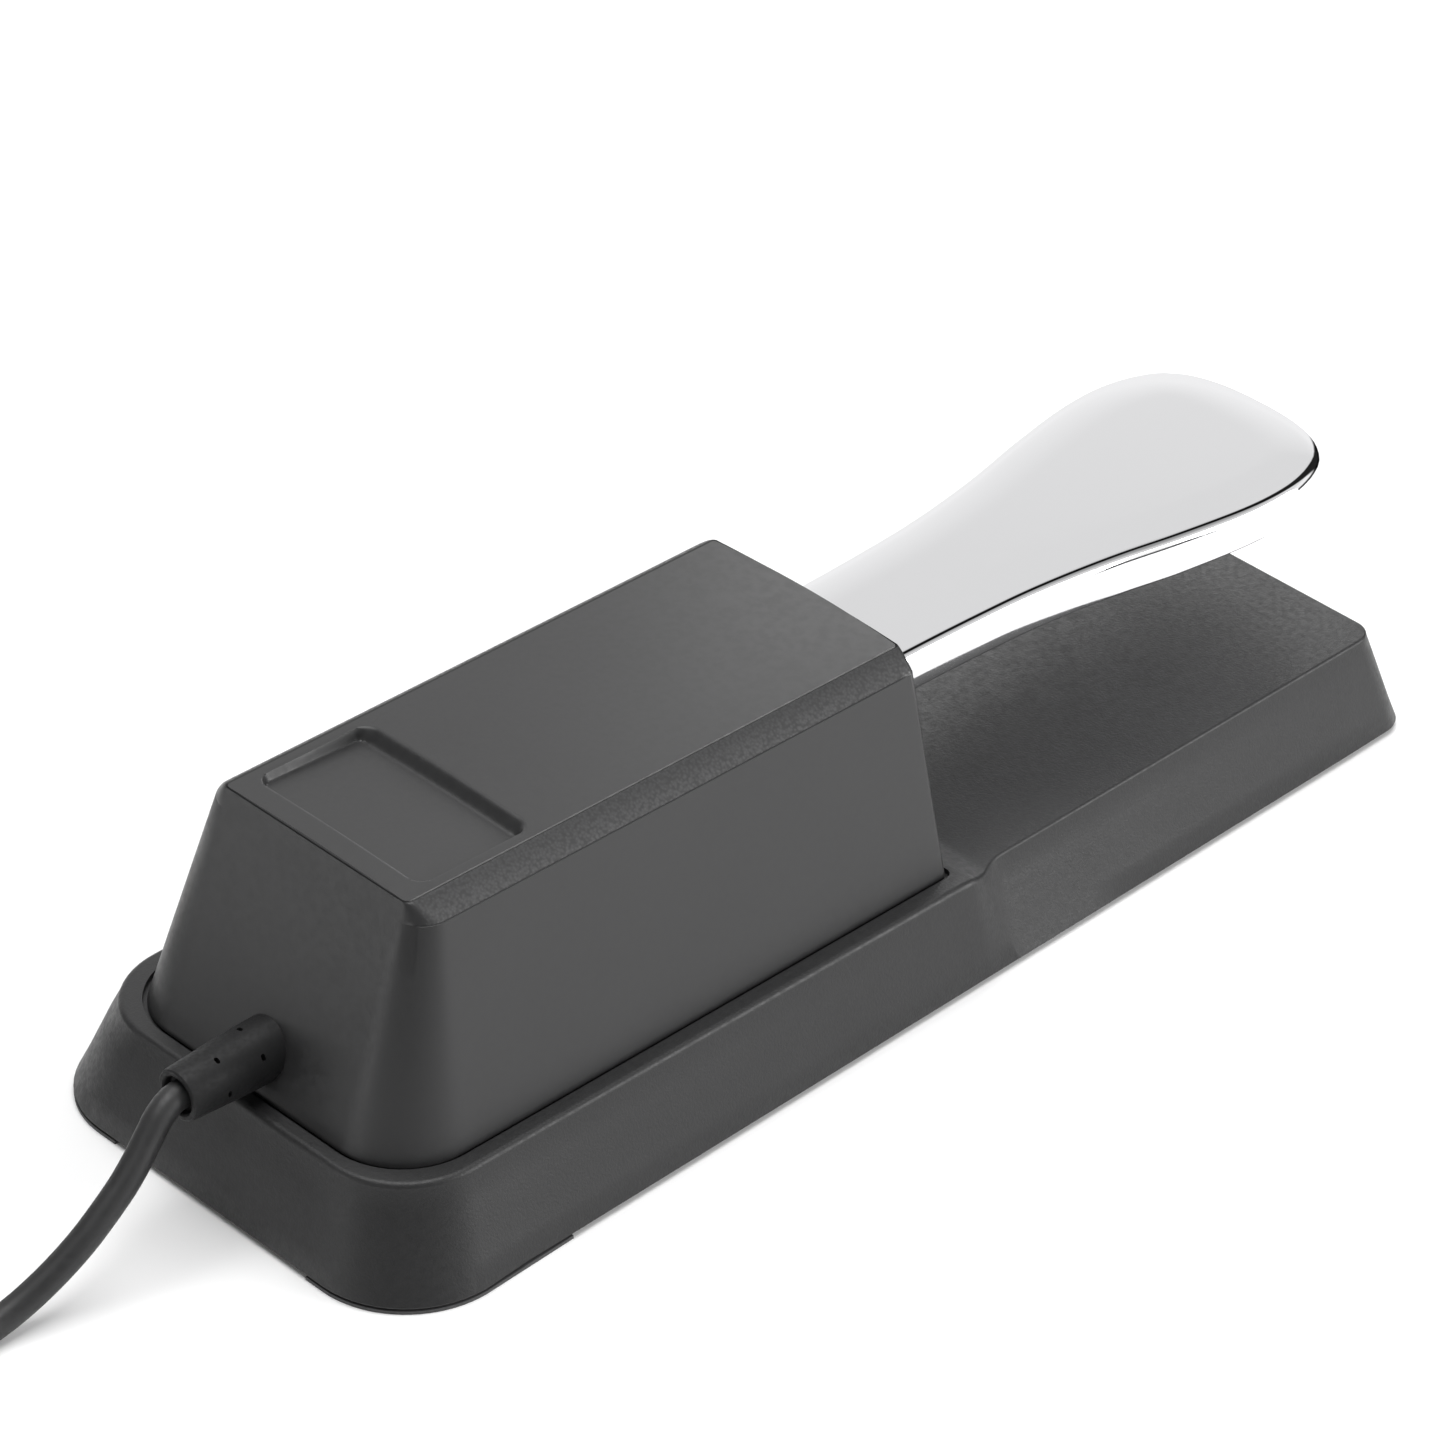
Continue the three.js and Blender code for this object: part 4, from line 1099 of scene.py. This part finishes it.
class PEDAL_OT_stage(bpy.types.Operator):
    """Set up the pale floor, the soft studio light and the camera"""

    bl_idname = "pedal.stage"
    bl_label = "Studio"

    def execute(self, context):
        scene = context.scene
        stage = scene.pedal_stage
        self.floor(stage)
        self.camera(scene, stage)
        self.softbox("top_softbox", (0.1, 0.0, 1.3), (1.1, 1.1), stage.top_light, (0, 0, 0))
        self.softbox("side_softbox", (-1.15, -0.95, 0.5), (0.9, 0.9), stage.side_light, (0, 0, 0.02))
        toe = self.softbox("toe_softbox", (0.15, -0.25, 0.17), (0.16, 0.16), stage.toe_light,
                           (0, -0.11, 0.02))
        self.keep_off_chrome(toe)
        self.softbox("rear_softbox", (0.4, 0.95, 0.15), (0.5, 0.3), stage.rear_light, (0, 0.1, 0.02))
        self.surround(scene, stage)
        scene.view_settings.view_transform = "Standard"
        return {"FINISHED"}

    def floor(self, stage):
        bm = bmesh.new()
        bmesh.ops.create_grid(bm, x_segments=8, y_segments=8, size=4)
        mesh = bpy.data.meshes.new("studio_floor")
        bm.to_mesh(mesh)
        bm.free()
        finish = Finish("floor_paper", stage.floor_shade, 0.9, specular=0.1)
        shade = tuple(stage.floor_shade)
        finish.colour(finish.blend(finish.noise(2, 2), scaled(shade, 0.99), shade))
        mesh.materials.append(finish.material)
        floor = bpy.data.objects.new("studio_floor", mesh)
        bpy.context.scene.collection.objects.link(floor)

    def camera(self, scene, stage):
        target = place(16.0, -9.1, 25.0)
        a, e = stage.azimuth, stage.elevation
        back = Vector((math.sin(a) * math.cos(e), -math.cos(a) * math.cos(e), math.sin(e)))
        data = bpy.data.cameras.new("camera")
        data.sensor_width = 36
        data.lens = stage.lens
        data.clip_start = 0.05
        camera = bpy.data.objects.new("camera", data)
        camera.matrix_world = (Matrix.Translation(target + back * stage.distance)
                               @ (-back).to_track_quat("-Z", "Y").to_matrix().to_4x4())
        scene.collection.objects.link(camera)
        scene.camera = camera

    def softbox(self, name, at, size, power, aim):
        """A rectangular light, in metres, that the camera doesn't see."""
        data = bpy.data.lights.new(name, "AREA")
        data.shape = "RECTANGLE"
        data.size, data.size_y = size
        data.energy = power
        light = bpy.data.objects.new(name, data)
        light.visible_camera = False
        toward = Vector(aim) - Vector(at)
        light.matrix_world = Matrix.Translation(at) @ toward.to_track_quat("-Z", "Y").to_matrix().to_4x4()
        bpy.context.scene.collection.objects.link(light)
        return light

    def keep_off_chrome(self, light):
        """Flags a softbox from the lever, so that its shape doesn't show in the plating."""
        flagged = bpy.data.collections.new("flagged_from_" + light.name)
        light.light_linking.receiver_collection = flagged
        flagged.objects.link(bpy.data.objects["lever_pressing"])
        flagged.collection_objects[0].light_linking.link_state = "EXCLUDE"

    def surround(self, scene, stage):
        """The studio walls that the plating reflects, shaded by bearing and by height."""
        world = bpy.data.worlds.new("studio")
        world.use_nodes = True
        tree = world.node_tree
        direction = tree.nodes.new("ShaderNodeSeparateXYZ")
        tree.links.new(tree.nodes.new("ShaderNodeTexCoord").outputs["Generated"], direction.inputs["Vector"])
        ahead = tree.nodes.new("ShaderNodeMath")
        ahead.operation = "MULTIPLY"
        ahead.inputs[1].default_value = -1
        tree.links.new(direction.outputs["Y"], ahead.inputs[0])
        bearing = tree.nodes.new("ShaderNodeMath")
        bearing.operation = "ARCTAN2"
        tree.links.new(direction.outputs["X"], bearing.inputs[0])
        tree.links.new(ahead.outputs["Value"], bearing.inputs[1])
        turn = tree.nodes.new("ShaderNodeMapRange")
        turn.inputs["From Min"].default_value = -math.pi
        turn.inputs["From Max"].default_value = math.pi
        tree.links.new(bearing.outputs["Value"], turn.inputs["Value"])
        walls = self.shades(tree, WALL_SHADES, turn.outputs["Result"])
        heights = self.shades(tree, HEIGHT_SHADES, direction.outputs["Z"])
        low_walls = self.shades(tree, LOW_WALL_SHADES, turn.outputs["Result"])
        near_floor = tree.nodes.new("ShaderNodeMapRange")
        near_floor.inputs["From Min"].default_value = LOW_WALL_TOP
        near_floor.inputs["From Max"].default_value = LOW_WALL_FADE
        tree.links.new(direction.outputs["Z"], near_floor.inputs["Value"])
        lit_low = self.mixed(tree, "MULTIPLY", low_walls, near_floor.outputs["Result"])
        shade = self.mixed(tree, "MULTIPLY", walls, self.mixed(tree, "LIGHTEN", heights, lit_low))
        background = tree.nodes["Background"]
        tree.links.new(shade, background.inputs["Color"])
        background.inputs["Strength"].default_value = stage.surround
        scene.world = world

    def mixed(self, tree, blend, one, other):
        both = tree.nodes.new("ShaderNodeMix")
        both.data_type = "RGBA"
        both.blend_type = blend
        both.inputs[0].default_value = 1
        # Sockets 6 and 7 are the two colours of the node, and output 2 is its colour.
        tree.links.new(one, both.inputs[6])
        tree.links.new(other, both.inputs[7])
        return both.outputs[2]

    def shades(self, tree, stops, value):
        ramp = tree.nodes.new("ShaderNodeValToRGB")
        elements = ramp.color_ramp.elements
        while len(elements) < len(stops):
            elements.new(0.5)
        for element, (position, shade) in zip(elements, stops):
            element.position = position
            element.color = (shade, shade, shade, 1)
        tree.links.new(value, ramp.inputs["Fac"])
        return ramp.outputs["Color"]


# ---------------------------------------------------------------- panel and registration

BUILD_ORDER = ["plug", "cord", "boot", "base", "tower", "lever", "spring", "fittings", "stage"]


class PEDAL_PT_builder(bpy.types.Panel):
    """Lists the steps that build the pedal"""

    bl_idname = "PEDAL_PT_builder"
    bl_label = "Sustain pedal"
    bl_space_type = "VIEW_3D"
    bl_region_type = "UI"
    bl_category = "Pedal"

    def draw(self, context):
        layout = self.layout
        for group in ("pedal_sizes", "pedal_colours", "pedal_stage"):
            settings = getattr(context.scene, group)
            box = layout.box()
            for name in settings.bl_rna.properties.keys():
                if name not in ("rna_type", "name"):
                    box.prop(settings, name)
        for step in BUILD_ORDER:
            layout.operator(f"pedal.{step}")


CLASSES = (
    PedalSizes, PedalColours, PedalStage, PEDAL_OT_base, PEDAL_OT_tower, PEDAL_OT_lever, PEDAL_OT_cord,
    PEDAL_OT_boot, PEDAL_OT_plug, PEDAL_OT_spring, PEDAL_OT_fittings, PEDAL_OT_stage, PEDAL_PT_builder,
)


def register():
    for cls in CLASSES:
        bpy.utils.register_class(cls)
    bpy.types.Scene.pedal_sizes = bpy.props.PointerProperty(type=PedalSizes)
    bpy.types.Scene.pedal_colours = bpy.props.PointerProperty(type=PedalColours)
    bpy.types.Scene.pedal_stage = bpy.props.PointerProperty(type=PedalStage)


def unregister():
    del bpy.types.Scene.pedal_stage
    del bpy.types.Scene.pedal_colours
    del bpy.types.Scene.pedal_sizes
    for cls in reversed(CLASSES):
        bpy.utils.unregister_class(cls)


def main():
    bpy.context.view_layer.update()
    register()
    prepare_finishes(bpy.context.scene.pedal_colours)
    for step in BUILD_ORDER:
        getattr(bpy.ops.pedal, step)()


if __name__ == "__main__":
    main()
